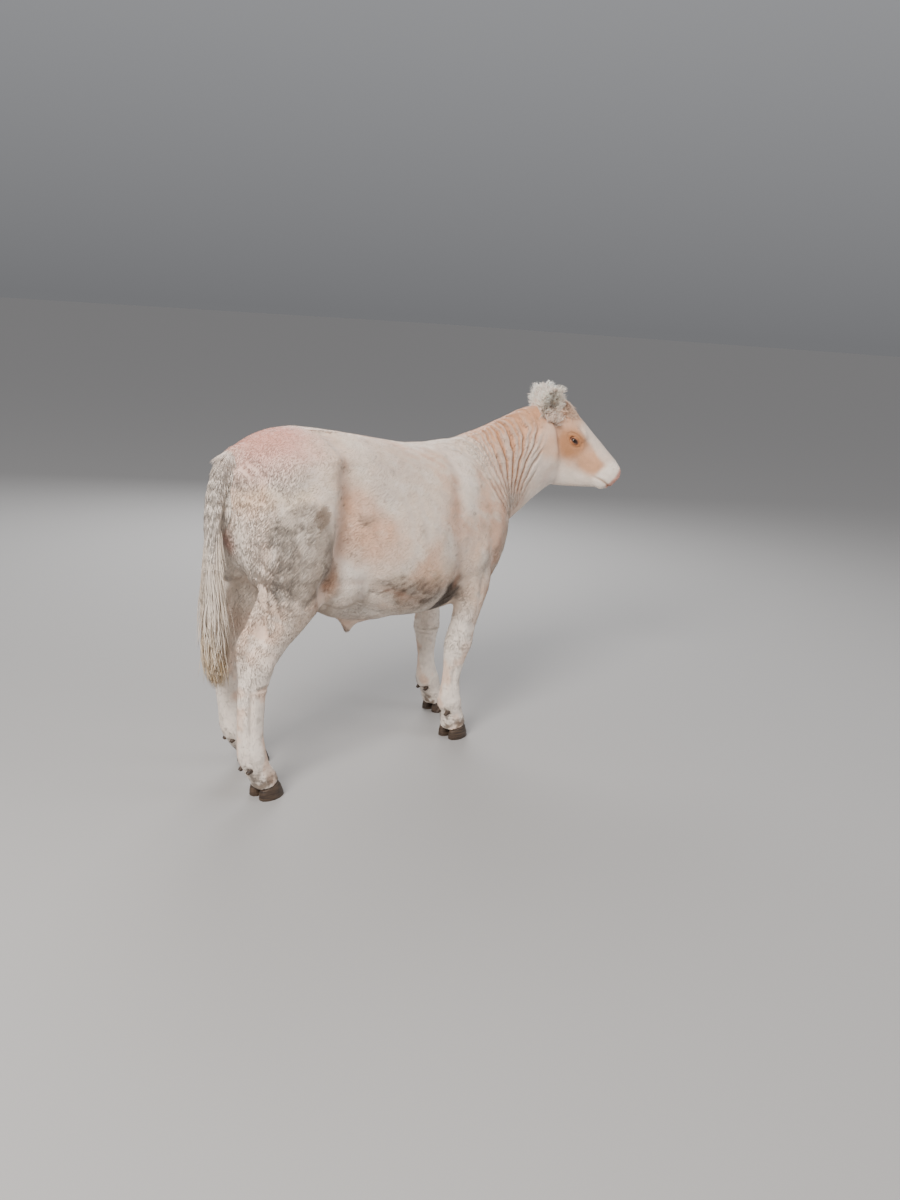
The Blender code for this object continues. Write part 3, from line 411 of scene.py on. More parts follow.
def refine_head(mesh):
    """Halves the grid on the head, so that lips, lids and folds find points enough."""
    shape = opened(mesh)
    shape.verts.ensure_lookup_table()
    ahead = beyond(coords(mesh), HEAD_CUT) > 0.0
    chosen = [edge for edge in shape.edges if ahead[edge.verts[0].index] and ahead[edge.verts[1].index]]
    bmesh.ops.subdivide_edges(shape, edges=chosen, cuts=1, use_grid_fill=True)
    bmesh.ops.triangulate(shape, faces=[face for face in shape.faces if len(face.verts) > 4])
    closed(shape, mesh)


def tail_at(height, *columns):
    """These columns of the hanging tail's table at the heights asked for."""
    return (np.interp(-height, -HANGING_TAIL[:, 1], HANGING_TAIL[:, k]) for k in columns)


def regions(points):
    """How much each point belongs to the head, the neck, the lower legs and the tail."""
    work = points - ORIGIN
    head = ramp(beyond(points, HEAD_CUT), -0.01, 0.02)
    neck = ramp(beyond(points, NECK_CUT), -0.05, 0.05) * (1 - head)
    legs = 1 - ramp(work[:, 2], *LEG_TOP)
    (path_x,) = tail_at(work[:, 2], 0)
    tail = (np.abs(work[:, 0] - path_x) < TAIL_REACH[0]) & (np.abs(work[:, 1]) < TAIL_REACH[1])
    tail &= (work[:, 2] > TAIL_LOW) & (work[:, 0] < TAIL_FRONT)
    return head, neck, legs * (1 - head), tail.astype(float)


def eye_distance(local):
    """Distance from the nearer eye's middle, in openings, seen square to the side of the head."""
    along = (local[:, 0] - EYE_PLACE[0]) / EYE_OPENING[0]
    up = (local[:, 2] - EYE_PLACE[2]) / (EYE_OPENING[1] * 1.2)
    return np.where(np.abs(local[:, 1]) > 0.03, np.hypot(along, up), 99.0)


def one_side(local):
    """Places on the face, with those of its right side brought over to the left."""
    return np.column_stack([local[:, 0], np.abs(local[:, 1]), local[:, 2]])


def mouth_level(local):
    """Height of the mouth line along the face, turned up at its corner."""
    return -0.104 - 0.030 * ramp(-local[:, 0], -0.37, -0.27)


def nostril_distance(flat):
    """Distance from the nostril's middle, in its own size. Its outline is a comma, and it opens forwards."""
    aside = flat[:, 1] - NOSTRIL_PLACE[0]
    up = flat[:, 2] - NOSTRIL_PLACE[1] + 0.35 * aside
    inner = ramp(-flat[:, 0], -NOSE_START, -0.352)
    return np.hypot(aside / NOSTRIL_SIZE[0], up / NOSTRIL_SIZE[1]) + 3 * inner


# Lines pressed into each side, seen square to it: places (x, z), depth, half width. First the flank fold
FLANK = (-0.249, 1.165), (-0.251, 1.057), (-0.239, 0.927), (-0.255, 0.835), (-0.290, 0.756), (-0.334, 0.696)
CREASES = (
    (FLANK, 0.024, 0.046),
    (((-0.334, 0.700), (-0.250, 0.705), (-0.150, 0.690), (0.000, 0.640), (0.120, 0.580)), 0.0034, 0.016),
    (((0.300, 1.060), (0.262, 0.930), (0.262, 0.780), (0.300, 0.640)), 0.0080, 0.034),
    (((-0.585, 1.120), (-0.560, 1.060), (-0.572, 1.000)), 0.0040, 0.013),
    (((-0.560, 1.120), (-0.535, 1.070), (-0.545, 0.990)), 0.0030, 0.011),
)
# Soft swellings and hollows on each side: centre, radii, rise
FORMS = (
    ((-0.275, 0.20, 1.125), (0.100, 0.14, 0.075), 0.006),
    ((-0.190, 0.24, 1.030), (0.075, 0.14, 0.110), -0.010),
    ((-0.330, 0.22, 0.760), (0.090, 0.12, 0.090), 0.006),
    ((-0.565, 0.13, 0.545), (0.050, 0.10, 0.090), -0.007),
    ((-0.590, 0.12, 0.470), (0.040, 0.10, 0.050), 0.005),
    ((0.330, 0.20, 1.020), (0.090, 0.16, 0.130), 0.006),
    ((0.400, 0.20, 0.760), (0.090, 0.14, 0.130), 0.006),
    ((0.215, 0.20, 0.820), (0.060, 0.14, 0.160), -0.007),
)
# The same on the lower legs, in the stance of the right ones
LEG_FORMS = (
    ((-0.568, 0.185, 0.590), (0.026, 0.05, 0.075), -0.017),
    ((-0.548, 0.190, 0.455), (0.045, 0.06, 0.048), 0.008),
    ((-0.605, 0.180, 0.310), (0.014, 0.06, 0.135), -0.010),
    ((-0.560, 0.185, 0.388), (0.048, 0.05, 0.012), -0.006),
    ((-0.578, 0.160, 0.165), (0.050, 0.08, 0.034), 0.003),
    ((-0.550, 0.160, 0.108), (0.040, 0.09, 0.022), -0.003),
    ((-0.470, 0.200, 0.640), (0.055, 0.06, 0.070), 0.006),
    ((-0.522, 0.200, 0.640), (0.016, 0.05, 0.070), -0.006),
    ((0.400, 0.145, 0.385), (0.060, 0.09, 0.045), 0.004),
    ((0.405, 0.190, 0.455), (0.030, 0.05, 0.040), -0.005),
    ((0.343, 0.170, 0.260), (0.012, 0.05, 0.085), -0.008),
    ((0.430, 0.200, 0.590), (0.016, 0.05, 0.100), -0.006),
    ((0.356, 0.145, 0.155), (0.050, 0.08, 0.032), 0.003),
)
# Leg hollows deeper than this also get painted shade, in grey
SHADED_HOLLOW = -0.004
# How far the left legs step ahead of the right ones, fore and hind, and the height where they start to
LEFT_STEP = (0.164, 0.135)
STEP_TOP = 0.92
# Heights between which the legs pass into the body
LEG_TOP = (0.42, 0.62)
# Middle of each knee, right and left
KNEES = ((0.40, 0.143, 0.37), (0.52, 0.12, 0.37))
# How far wrinkles lie from each other beside the tail head, over the ribs, on knees and pasterns, on the nose
TAIL_WRINKLE = 0.030
RIB_GAP = 0.062
KNEE_WRINKLE = 0.017
PASTERN_WRINKLE = 0.013
NOSE_WRINKLE = 0.011
# Where they are: centre, radii
BESIDE_TAIL = ((-0.545, 0.07, 1.075), (0.07, 0.06, 0.08))
RIBS = ((0.03, 0.25, 0.90), (0.26, 0.16, 0.26))
KNEE_REACH = (0.09, 0.2, 0.06)
NOSE_BRIDGE = ((0.335, 0.03, -0.03), (0.04, 0.05, 0.05))
# The folds of the neck fan out from this place (x, z), at this angle from each other
FOLD_MIDDLE = (0.655, 0.800)
FOLD_ANGLE = 8.6


def leg_places(work, side):
    """Places on the legs of one side, brought over to the stance of the right legs."""
    step = np.where(work[:, 0] > 0, *LEFT_STEP) * (1 - work[:, 2] / STEP_TOP) * (side == LEFT)
    return mirror(work, side) - np.outer(step, (1, 0, 0))


def path_distance(mirrored, path):
    """Distance from a line of places, seen square to the animal's side."""
    nearest = np.full(len(mirrored), 9.0)
    flat = mirrored[:, (0, 2)]
    for start, end in zip(np.array(path), np.array(path)[1:]):
        line = end - start
        share = np.clip((flat - start) @ line / line.dot(line), 0, 1)
        nearest = np.minimum(nearest, np.linalg.norm(flat - start - share[:, None] * line, axis=1))
    return np.where(mirrored[:, 1] > 0.05, nearest, 9.0)


def neck_folds(work):
    """Upright folds of the near neck that fan out from the throat to the crest, faint on the far side."""
    across = work[:, 0] - FOLD_MIDDLE[0]
    up = work[:, 2] - FOLD_MIDDLE[1]
    angle = np.degrees(np.arctan2(across, up)) + 5.5 * noise(work, 0.14, 3) + 1.2 * noise(work, 0.030, 5)
    turn = angle * math.pi / FOLD_ANGLE
    broad = 0.50 - 1.45 * bell(np.sin(turn), 0, 0.42)
    fine = 0.30 - 0.90 * bell(np.sin(turn + math.pi / 2), 0, 0.40)
    distance = np.hypot(across, up)
    uneven = noise(np.column_stack([angle / 11, distance * 7, work[:, 1] * 0]), 1.0, 4)
    fold = broad * (0.85 + 0.55 * uneven) + fine * ramp(noise(work, 0.10, 6), -0.5, 0.4)
    fade = ramp(distance, 0.04, 0.12) * (1 - ramp(distance, 0.36, 0.52))
    fade *= ramp(angle, -58, -36) * (1 - ramp(angle, 26, 50))
    return fold * fade * np.where(work[:, 1] < -0.02, 1.0, 0.10)


def side_relief(work, side):
    """Rise of one side: creases, folds beside the tail head, ribs, and the bony and fleshy forms."""
    mirrored = mirror(work, side)
    rise = np.zeros(len(work))
    for path, depth, half in CREASES:
        rise -= depth * bell(path_distance(mirrored, path), 0, half)
    wrinkles = waves(mirrored[:, 2] + 0.5 * mirrored[:, 0], TAIL_WRINKLE)
    rise += 0.0004 * wrinkles * near(mirrored, *BESIDE_TAIL)
    ribs = waves(mirrored[:, 0] + 0.22 * mirrored[:, 2], RIB_GAP)
    rise += 0.0012 * ribs * near(mirrored, *RIBS)
    for places, forms in ((mirrored, FORMS), (leg_places(work, side), LEG_FORMS)):
        for centre, radii, height in forms:
            rise += height * near(places, centre, radii)
    return rise


def joint_wrinkles(work):
    """Fine wrinkles over the knees and pasterns."""
    rise = 0.0009 * waves(work[:, 2], PASTERN_WRINKLE) * bell(work[:, 2], 0.088, 0.022)
    for knee in KNEES:
        beside = np.column_stack([work[:, 0], np.full(len(work), knee[1]), work[:, 2]])
        rise += 0.0005 * waves(work[:, 2], KNEE_WRINKLE) * near(beside, knee, KNEE_REACH)
    return rise


def sculpt(points, normal):
    """Moves the skin along its normals for folds, creases and bony points."""
    work = points - ORIGIN
    head, _, legs, _ = regions(points)
    move = 0.0095 * neck_folds(work) * (1 - head)
    move += 0.0016 * fractal(work, 0.07, 8) * (1 - legs) * (1 - head)
    move += side_relief(work, RIGHT) + side_relief(work, LEFT) + joint_wrinkles(work)
    return sculpt_face(points + normal * move[:, None], normal, to_head(points), head)


# Forms of each side of the face in the head's own frame: centre, radii, rise
FACE_FORMS = (
    ((0.122, 0.074, -0.046), (0.050, 0.035, 0.026), 0.0040),
    ((0.070, 0.080, -0.062), (0.036, 0.045, 0.030), -0.0055),
    ((0.222, 0.062, -0.060), (0.070, 0.040, 0.036), -0.0085),
    ((0.215, 0.075, -0.112), (0.075, 0.035, 0.018), 0.0030),
    ((0.262, 0.062, -0.150), (0.060, 0.040, 0.040), -0.0070),
    ((0.100, 0.088, -0.190), (0.085, 0.045, 0.080), 0.0030),
    ((0.180, 0.070, -0.215), (0.060, 0.050, 0.050), -0.0050),
    ((0.318, 0.052, -0.070), (0.028, 0.045, 0.060), -0.0045),
    ((0.358, 0.048, -0.066), (0.032, 0.028, 0.034), 0.0040),
    ((0.180, 0.000, 0.004), (0.075, 0.030, 0.020), -0.0030),
)
# Grooves and ridges along the mouth: height above its line, half width, rise
LIP_FORMS = ((0.0, 0.0036, -0.0042), (0.011, 0.008, 0.0022), (-0.012, 0.008, 0.0018))
# The top of the head, smoothed most because the tuft's locks were pressed down there: centre, radii
BALD_CROWN = ((0.02, 0, 0), (0.13, 0.11, 0.07))


def face_relief(local):
    """Rise of the face: soft forms, full lips, nostrils with a raised wing, and the folds round the eye."""
    flat = one_side(local)
    rise = np.zeros(len(local))
    for centre, radii, height in FACE_FORMS:
        rise += height * near(flat, centre, radii)
    forward = ramp(local[:, 0], 0.300, 0.335)
    for above, half, height in LIP_FORMS:
        rise += height * bell(local[:, 2], mouth_level(local) + above, half) * forward
    pit = nostril_distance(flat)
    rise += 0.0022 * bell(pit, 1.45, 0.35) - 0.0075 * (1 - ramp(pit, 0.45, 1.05))
    rise += 0.0008 * waves(local[:, 0], NOSE_WRINKLE) * near(flat, *NOSE_BRIDGE)
    ring = eye_distance(local)
    over = 0.0016 * bell(ring, 3.1, 0.45) - 0.0022 * bell(ring, 2.5, 0.28)
    under = -0.0018 * bell(ring, 2.1, 0.25)
    return rise + np.where(local[:, 2] > EYE_PLACE[2], over, under)


def sculpt_face(points, normal, local, head):
    """Moves the face along its normals, then presses the sockets in to the depth of the eyeballs."""
    points = points + normal * (face_relief(local) * head)[:, None]
    local = to_head(points)
    socket = (1 - ramp(eye_distance(local), 1.15, 1.45)) * head
    depth = np.minimum(np.abs(local[:, 1]), EYE_PLACE[1] + 0.003)
    local[:, 1] = np.sign(local[:, 1]) * (depth * socket + np.abs(local[:, 1]) * (1 - socket))
    return from_head(local)


def coat_depth(points):
    """How deep the coat is, and so how far the skin lies inside the solids."""
    feet = 1 - ramp((points - ORIGIN)[:, 2], 0.30, 0.55)
    return COAT_DEPTH - (COAT_DEPTH - FACE_DEPTH) * np.maximum(regions(points)[0], feet)


def smooth_skin(points, edges):
    """Takes the grid's steps out, gently on legs and tail, and fairs the head's seam, lids and crown."""
    head, _, legs, tail = regions(points)
    points = relax(points, edges, 60, (1 - 0.55 * np.maximum(legs, tail)) * (1 - head))
    points = relax(points, edges, 10, 0.8 * head)
    seam = bell(beyond(points, HEAD_CUT), 0, 0.022) * ramp(beyond(points, NECK_CUT), 0.0, 0.05)
    points = relax(points, edges, 24, 0.9 * seam)
    local = to_head(points)
    lids = 1 - ramp(eye_distance(local), 2.0, 2.6)
    bald = head * np.maximum(lids, near(local, *BALD_CROWN))
    return relax(points, edges, 30, np.clip(bald * 1.4, 0, 1), (0.6, -0.3))


def make_skin(finish):
    """The skin, smoothed, sunk by the coat's depth and sculpted, kept off the floor and in the CAD box."""
    mesh = gather_flesh()
    refine_head(mesh)
    points = smooth_skin(coords(mesh), read_out(mesh.edges, "vertices", 2, int))
    set_coords(mesh, points)
    normal = normals(mesh)
    points = points - normal * coat_depth(points)[:, None]
    set_coords(mesh, sculpt(points, normal))
    points = coords(mesh)
    points[:, 2] = np.maximum(points[:, 2], LOWEST_SKIN)
    set_coords(mesh, np.clip(points, LOW, HIGH))
    dress(mesh, coat_colour(coords(mesh)), finish)
    skin = new_object("skin", mesh, "cream_coat")
    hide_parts(*FLESH_NODES)
    return skin


# Colours, linear
CREAM = np.array((0.80, 0.60, 0.46))
WHITE = np.array((0.88, 0.78, 0.68))
TAN = np.array((0.62, 0.31, 0.15))
PEACH = np.array((0.77, 0.42, 0.25))
PINK = np.array((0.75, 0.34, 0.26))
GREY = np.array((0.33, 0.27, 0.22))
PALE_GREY = GREY * 1.25
LILAC = np.array((0.50, 0.42, 0.385))
DIRT = np.array((0.13, 0.085, 0.055))
RED_SKIN = np.array((0.42, 0.15, 0.10))
NOSE_PINK = np.array((0.56, 0.26, 0.20))
# Painted shade inside the nostrils
NOSTRIL_SHADE = np.array((0.030, 0.018, 0.014))
YELLOW = np.array((0.66, 0.46, 0.22))
# Painted shade for the hollows of the neck's folds
FOLD_SHADE = TAN * np.array((0.64, 0.60, 0.62))
# Painted shade for the body's creases
CREASE_SHADE = TAN * np.array((0.66, 0.54, 0.50))
EYE_PATCH = TAN * np.array((0.78, 0.68, 0.58))
EYE_RIM = TAN * np.array((0.50, 0.36, 0.30))
LID_TAN = TAN * np.array((0.72, 0.62, 0.55))
LID_BROWN = np.array((0.22, 0.11, 0.08))
IRIS = np.array((0.055, 0.026, 0.014))
PUPIL = np.array((0.006, 0.005, 0.005))
EYE_WHITE = np.array((0.28, 0.20, 0.16))
HORN = (0.026, 0.016, 0.011)
WORN_HORN = (0.11, 0.070, 0.044)

# Markings: centre, radii, colour, strength, how ragged, size of the raggedness, how far it breaks into spots
MARKINGS = (
    ((-0.46, 0.0, 1.16), (0.30, 0.36, 0.27), PINK, 0.85, 0.5, 0.09, 0.0),
    ((-0.56, 0.0, 0.84), (0.11, 0.34, 0.26), WHITE, 0.85, 0.5, 0.08, 0.0),
    ((-0.45, 0.0, 0.62), (0.16, 0.34, 0.14), WHITE, 0.80, 0.5, 0.08, 0.0),
    ((-0.12, -0.24, 0.83), (0.21, 0.16, 0.18), PEACH, 0.50, 0.6, 0.08, 0.0),
    ((-0.12, 0.24, 0.83), (0.21, 0.16, 0.18), PEACH, 0.45, 0.6, 0.08, 0.0),
    ((0.00, 0.0, 1.02), (0.34, 0.42, 0.26), LILAC, 0.42, 0.9, 0.10, 0.0),
    ((-0.22, 0.0, 0.98), (0.10, 0.42, 0.20), TAN * 0.8, 0.22, 0.9, 0.08, 0.0),
    ((0.34, -0.16, 1.00), (0.12, 0.20, 0.26), WHITE, 0.85, 0.8, 0.05, 0.0),
    ((0.32, 0.16, 1.00), (0.12, 0.20, 0.26), WHITE, 0.75, 0.8, 0.05, 0.0),
    ((-0.47, 0.0, 1.00), (0.26, 0.34, 0.08), YELLOW, 0.30, 0.8, 0.06, 0.2),
    ((0.10, 0.0, 0.70), (0.40, 0.40, 0.12), YELLOW, 0.28, 0.8, 0.06, 0.2),
    ((-0.165, -0.25, 0.912), (0.075, 0.12, 0.040), DIRT, 0.90, 1.2, 0.016, 0.6),
    ((-0.03, -0.22, 0.665), (0.18, 0.16, 0.065), DIRT, 0.85, 1.3, 0.022, 0.6),
    ((0.11, -0.20, 0.625), (0.19, 0.18, 0.100), DIRT, 0.80, 1.3, 0.030, 0.5),
    ((0.10, 0.20, 0.63), (0.20, 0.14, 0.075), DIRT, 0.60, 1.3, 0.030, 0.6),
    ((0.285, -0.17, 0.565), (0.100, 0.16, 0.17), DIRT * 0.6, 1.00, 0.9, 0.030, 0.10),
    ((0.29, 0.17, 0.56), (0.070, 0.12, 0.12), DIRT * 0.7, 0.80, 0.9, 0.030, 0.4),
    ((0.42, -0.16, 0.66), (0.050, 0.08, 0.10), GREY, 0.60, 1.0, 0.020, 0.7),
    ((-0.04, 0.0, 0.50), (0.22, 0.12, 0.08), PEACH, 0.40, 0.4, 0.05, 0.0),
    ((-0.60, 0.0, 0.78), (0.06, 0.10, 0.22), RED_SKIN, 0.70, 0.4, 0.04, 0.0),
    ((-0.30, -0.20, 0.70), (0.07, 0.10, 0.10), TAN * 0.6, 0.50, 0.8, 0.030, 0.2),
    ((-0.58, -0.10, 0.44), (0.050, 0.10, 0.10), GREY, 0.75, 1.0, 0.018, 0.5),
    ((-0.56, -0.12, 0.18), (0.060, 0.12, 0.10), GREY, 0.75, 1.0, 0.014, 0.7),
)
# The greyed patch on each thigh: centre, radii, strength
THIGH_PATCHES = (
    ((-0.430, -0.21, 0.825), (0.195, 0.15, 0.230), 1.0),
    ((-0.440, 0.21, 0.825), (0.165, 0.15, 0.185), 0.75),
)
# The dirty spot above it, and the pink of the knees: centre, radii
DIRTY_SPOT = ((-0.365, -0.23, 0.945), (0.055, 0.10, 0.055))
PINK_KNEES = ((0.40, 0.0, 0.42), (0.10, 0.30, 0.13))
# How far the knees' rings, and the waves of the thighs' streaks, lie from each other
KNEE_RING = 0.024
STREAK_WAVE = 0.075
# Fields of the face in the head's own frame: centre, radii
TAN_BROW = ((0.06, 0.02, 0.0), (0.15, 0.12, 0.10))
ROUND_EYE = ((0.145, 0.075, -0.092), (0.125, 0.085, 0.108))
TAN_SNOUT = ((0.262, 0.055, -0.092), (0.100, 0.06, 0.080))
# Painted shade under the jaw
JAW_SHADE = ((0.16, 0.05, -0.255), (0.19, 0.09, 0.070))
WHITE_MUZZLE = ((0.350, 0.02, -0.085), (0.058, 0.10, 0.12))
# Where the coat is long, on each side: centre, radii, share
LONG_FIELDS = (((-0.45, 0.17, 0.80), (0.22, 0.14, 0.28), 1.0), ((0.60, 0.0, 0.62), (0.12, 0.20, 0.14), 0.8))


def streaks(work, size, seed):
    """Narrow wavy streaks that run down the side, each several times longer than it is wide."""
    sway = np.sin(work[:, 2] * 2 * math.pi / STREAK_WAVE + 9 * work[:, 0])
    bent = work + np.outer(0.010 * sway, (1.0, 0.6, 0.0))
    return fractal(bent * np.array((1.0, 1.0, 0.13)), size, seed, 2)


def blend(colour, other, share):
    share = np.clip(share, 0, 1)[:, None]
    return colour * (1 - share) + np.asarray(other) * share


def body_colour(work, neck, legs):
    """Cream with paler and warmer clouds, brushed through with grey and white."""
    colour = blend(CREAM, WHITE, 0.55 + 0.7 * fractal(work, 0.16, 21))
    colour = blend(colour, PEACH, 0.58 * ramp(fractal(work, 0.22, 25), -0.1, 0.5))
    brushed = fractal(work * np.array((0.45, 1.0, 1.0)) + np.outer(work[:, 0], (0.0, 0.0, 0.55)), 0.034, 27)
    colour = blend(colour, LILAC, 0.16 * ramp(brushed, 0.05, 0.50) * (1 - neck) * (1 - legs))
    return blend(colour, WHITE, 0.55 * ramp(-brushed, 0.05, 0.50) * (1 - neck))


def tint_neck(colour, points, work, neck):
    """Warm tan over the neck, with painted shade down in its folds and a painted highlight on their ridges,
    paler at the throat and close behind the head.
    """
    throat = 1 - ramp(work[:, 2] - 0.35 * (work[:, 0] - 0.6), 0.80, 1.00)
    close = ramp(beyond(points, HEAD_CUT) + 0.03 * fractal(work, 0.05, 58), -0.14, 0.0)
    close = close * (1 - ramp(work[:, 2], 1.06, 1.26))
    colour = blend(colour, PEACH, neck * (0.95 - 0.35 * throat) * (1 - 0.8 * close))
    tan = 0.45 - 0.40 * throat + 0.30 * fractal(work, 0.09, 22)
    colour = blend(colour, TAN, neck * tan * (1 - close))
    folds = neck_folds(work)
    # Painted shade down in the folds
    colour = blend(colour, FOLD_SHADE, (0.12 + 0.58 * neck) * ramp(-folds, 0.10, 0.90))
    # Painted highlight in white on the folds' ridges, weaker high on the neck
    crest = 0.52 - 0.25 * ramp(work[:, 2], 1.10, 1.22)
    return blend(colour, WHITE, crest * ramp(folds, 0.12, 0.45))


def tint_markings(colour, work):
    """Pink, white, lilac, yellow and dirty fields over the body, with ragged or spotted edges."""
    for number, (centre, radii, tone, strength, ragged, size, spotty) in enumerate(MARKINGS):
        reach = near(work, centre, radii) + ragged * 0.35 * fractal(work, size, 30 + number)
        share = strength * ramp(reach, 0.12, 0.62 if spotty else 0.85)
        if spotty:
            share *= 1 - spotty + spotty * ramp(fractal(work, size * 0.6, 90 + number), -0.05, 0.30)
        colour = blend(colour, tone, share)
    return colour


def tint_thighs(colour, work):
    """The greyed and streaked patches of the thighs, and the dirty spot above the near one."""
    for centre, radii, strength in THIGH_PATCHES:
        reach = ramp(near(work, centre, radii) + 0.20 * fractal(work, 0.06, 45), 0.16, 0.38) * strength
        colour = blend(colour, PALE_GREY, 0.74 * reach)
        colour = blend(colour, GREY * 0.70, 0.60 * reach * ramp(streaks(work, 0.016, 46), 0.0, 0.45))
        colour = blend(colour, WHITE, 0.42 * reach * ramp(streaks(work, 0.018, 47), 0.16, 0.50))
    spot = near(work, *DIRTY_SPOT) + 0.5 * fractal(work, 0.022, 48)
    return blend(colour, DIRT * 1.4, 0.70 * ramp(spot, 0.25, 0.6))


def paint_hollow_shade(colour, work, legs, side):
    """Painted shade in tan down in one side's creases, and painted shade in grey in the hollows of its legs.
    """
    # Painted shade along the creases
    for path, _, half in CREASES:
        line = bell(path_distance(mirror(work, side), path), 0, half * 0.70)
        line *= (0.60 + 0.50 * fractal(work, 0.05, 57)) * (1 - legs)
        colour = blend(colour, CREASE_SHADE, line * (0.52 if half > 0.02 else 0.34))
    # Painted shade in the deeper hollows of the legs
    places = leg_places(work, side)
    uneven = 0.8 + 0.5 * fractal(work, 0.03, 59)
    for centre, radii, rise in LEG_FORMS:
        if rise < SHADED_HOLLOW:
            colour = blend(colour, PALE_GREY, 0.42 * near(places, centre, radii) * uneven)
    return colour


def tint_legs(colour, work):
    """Warmer and greyer clouds down the legs, pink rings at the knees, and dirt round the feet."""
    lower = 1 - ramp(work[:, 2], 0.30, 0.62)
    colour = blend(colour, PEACH, 0.45 * lower * ramp(fractal(work, 0.07, 54), 0.05, 0.40))
    colour = blend(colour, GREY, 0.45 * lower * ramp(fractal(work, 0.030, 50), 0.42, 0.62))
    rings = ramp(np.cos(work[:, 2] * 2 * math.pi / KNEE_RING + 3 * noise(work, 0.05, 55)), 0.4, 0.95)
    colour = blend(colour, PINK * 0.9, 0.20 * rings * near(work, *PINK_KNEES))
    feet = 1 - ramp(work[:, 2], 0.065, 0.13)
    return blend(colour, DIRT, 0.85 * feet * ramp(fractal(work, 0.022, 51), -0.20, 0.20))


def coat_colour(points):
    """The colour of skin and coat alike at each place, with markings and dirt."""
    work = points - ORIGIN
    head, neck, legs, tail = regions(points)
    neck = neck * (1 - 0.75 * ramp(fractal(work, 0.07, 26) + (0.43 - work[:, 0]) * 6, 0.0, 0.9))
    colour = tint_neck(body_colour(work, neck, legs), points, work, neck)
    colour = blend(colour, WHITE, np.maximum(legs, tail) * 0.90)
    colour = tint_thighs(tint_markings(colour, work), work)
    colour = blend(colour, WHITE, 0.75 * tail)
    # Painted shade in both sides' creases and leg hollows
    for side in (RIGHT, LEFT):
        colour = paint_hollow_shade(colour, work, legs, side)
    colour = tint_legs(colour, work)
    flecks = ramp(fractal(work, 0.014, 52, 2), 0.52, 0.64) * ramp(fractal(work, 0.14, 53), 0.02, 0.30)
    colour = blend(colour, DIRT, 0.70 * flecks * (1 - head) * (1 - neck))
    onto = ramp(beyond(points, HEAD_CUT) + 0.02 * fractal(work, 0.03, 56), -0.045, 0.035)
    colour = blend(colour, face_colour(points, work), onto)
    return np.clip(colour * (1 + 0.05 * noise(work, 0.01, 60))[:, None], 0, 1)


def face_colour(points, work):
    """Tan brow, brown patch round the eye, white jaw, bridge and muzzle, and pink wet nose, with painted
    shade under the jaw, along the mouth and in the nostrils.
    """
    local = to_head(points)
    flat = one_side(local)
    ahead, _, up = flat.T
    ragged = fractal(work, 0.030, 72)
    colour = blend(CREAM, PEACH, 0.45 + 0.35 * fractal(work, 0.06, 70))
    colour = blend(colour, TAN, 0.55 * near(flat, *TAN_BROW))
    jaw = ramp(0.43 * (ahead - 0.147) - up + 0.012 * ragged, 0.160, 0.215)
    colour = blend(colour, WHITE, (0.70 + 0.25 * fractal(work, 0.05, 73)) * jaw)
    # The patch round the eye ends sharply behind, along a slanting line
    behind = ramp((ahead - 0.103) * 0.69 + (up + 0.147) * 0.73, -0.006, 0.008)
    patch = near(flat, *ROUND_EYE) + 0.14 * ragged
    colour = blend(colour, EYE_PATCH, 0.90 * ramp(patch, 0.0, 0.75) * behind)
    snout = near(flat, *TAN_SNOUT) + 0.15 * ragged
    colour = blend(colour, TAN * 0.5 + PEACH * 0.5, 0.85 * ramp(snout, 0.0, 0.78))
    # Painted shade in lilac grey under the jaw
    colour = blend(colour, LILAC * 1.15, 0.50 * near(flat, *JAW_SHADE))
    bridge = ramp(up + 0.10 * (ahead - 0.20) + 0.010 * ragged, -0.052, -0.030) * ramp(ahead, 0.09, 0.16)
    colour = blend(colour, WHITE, (0.65 + 0.25 * fractal(work, 0.04, 74)) * bridge)
    colour = blend(colour, WHITE, 0.90 * ramp(near(flat, *WHITE_MUZZLE), 0.05, 0.5))
    front = ahead + 0.25 * np.maximum(-up - 0.11, 0) + 0.30 * np.maximum(up + 0.06, 0)
    pad = ramp(front, NOSE_START, 0.384) * ramp(up, -0.122, -0.108) * (1 - ramp(up, -0.026, -0.012))
    colour = blend(colour, NOSE_PINK * (1 + 0.2 * noise(work, 0.012, 71))[:, None], pad * 0.9)
    # Painted shade in dark tan along the groove of the mouth
    mouth_shade = bell(up, mouth_level(local), 0.0040) * ramp(ahead, 0.305, 0.350)
    colour = blend(colour, TAN * 0.55, mouth_shade * 0.75)
    # Painted shade inside the nostrils
    colour = blend(colour, NOSTRIL_SHADE, 1 - ramp(nostril_distance(flat), 0.55, 1.0))
    return blend(colour, EYE_RIM, 1 - ramp(eye_distance(local), 1.15, 1.9))


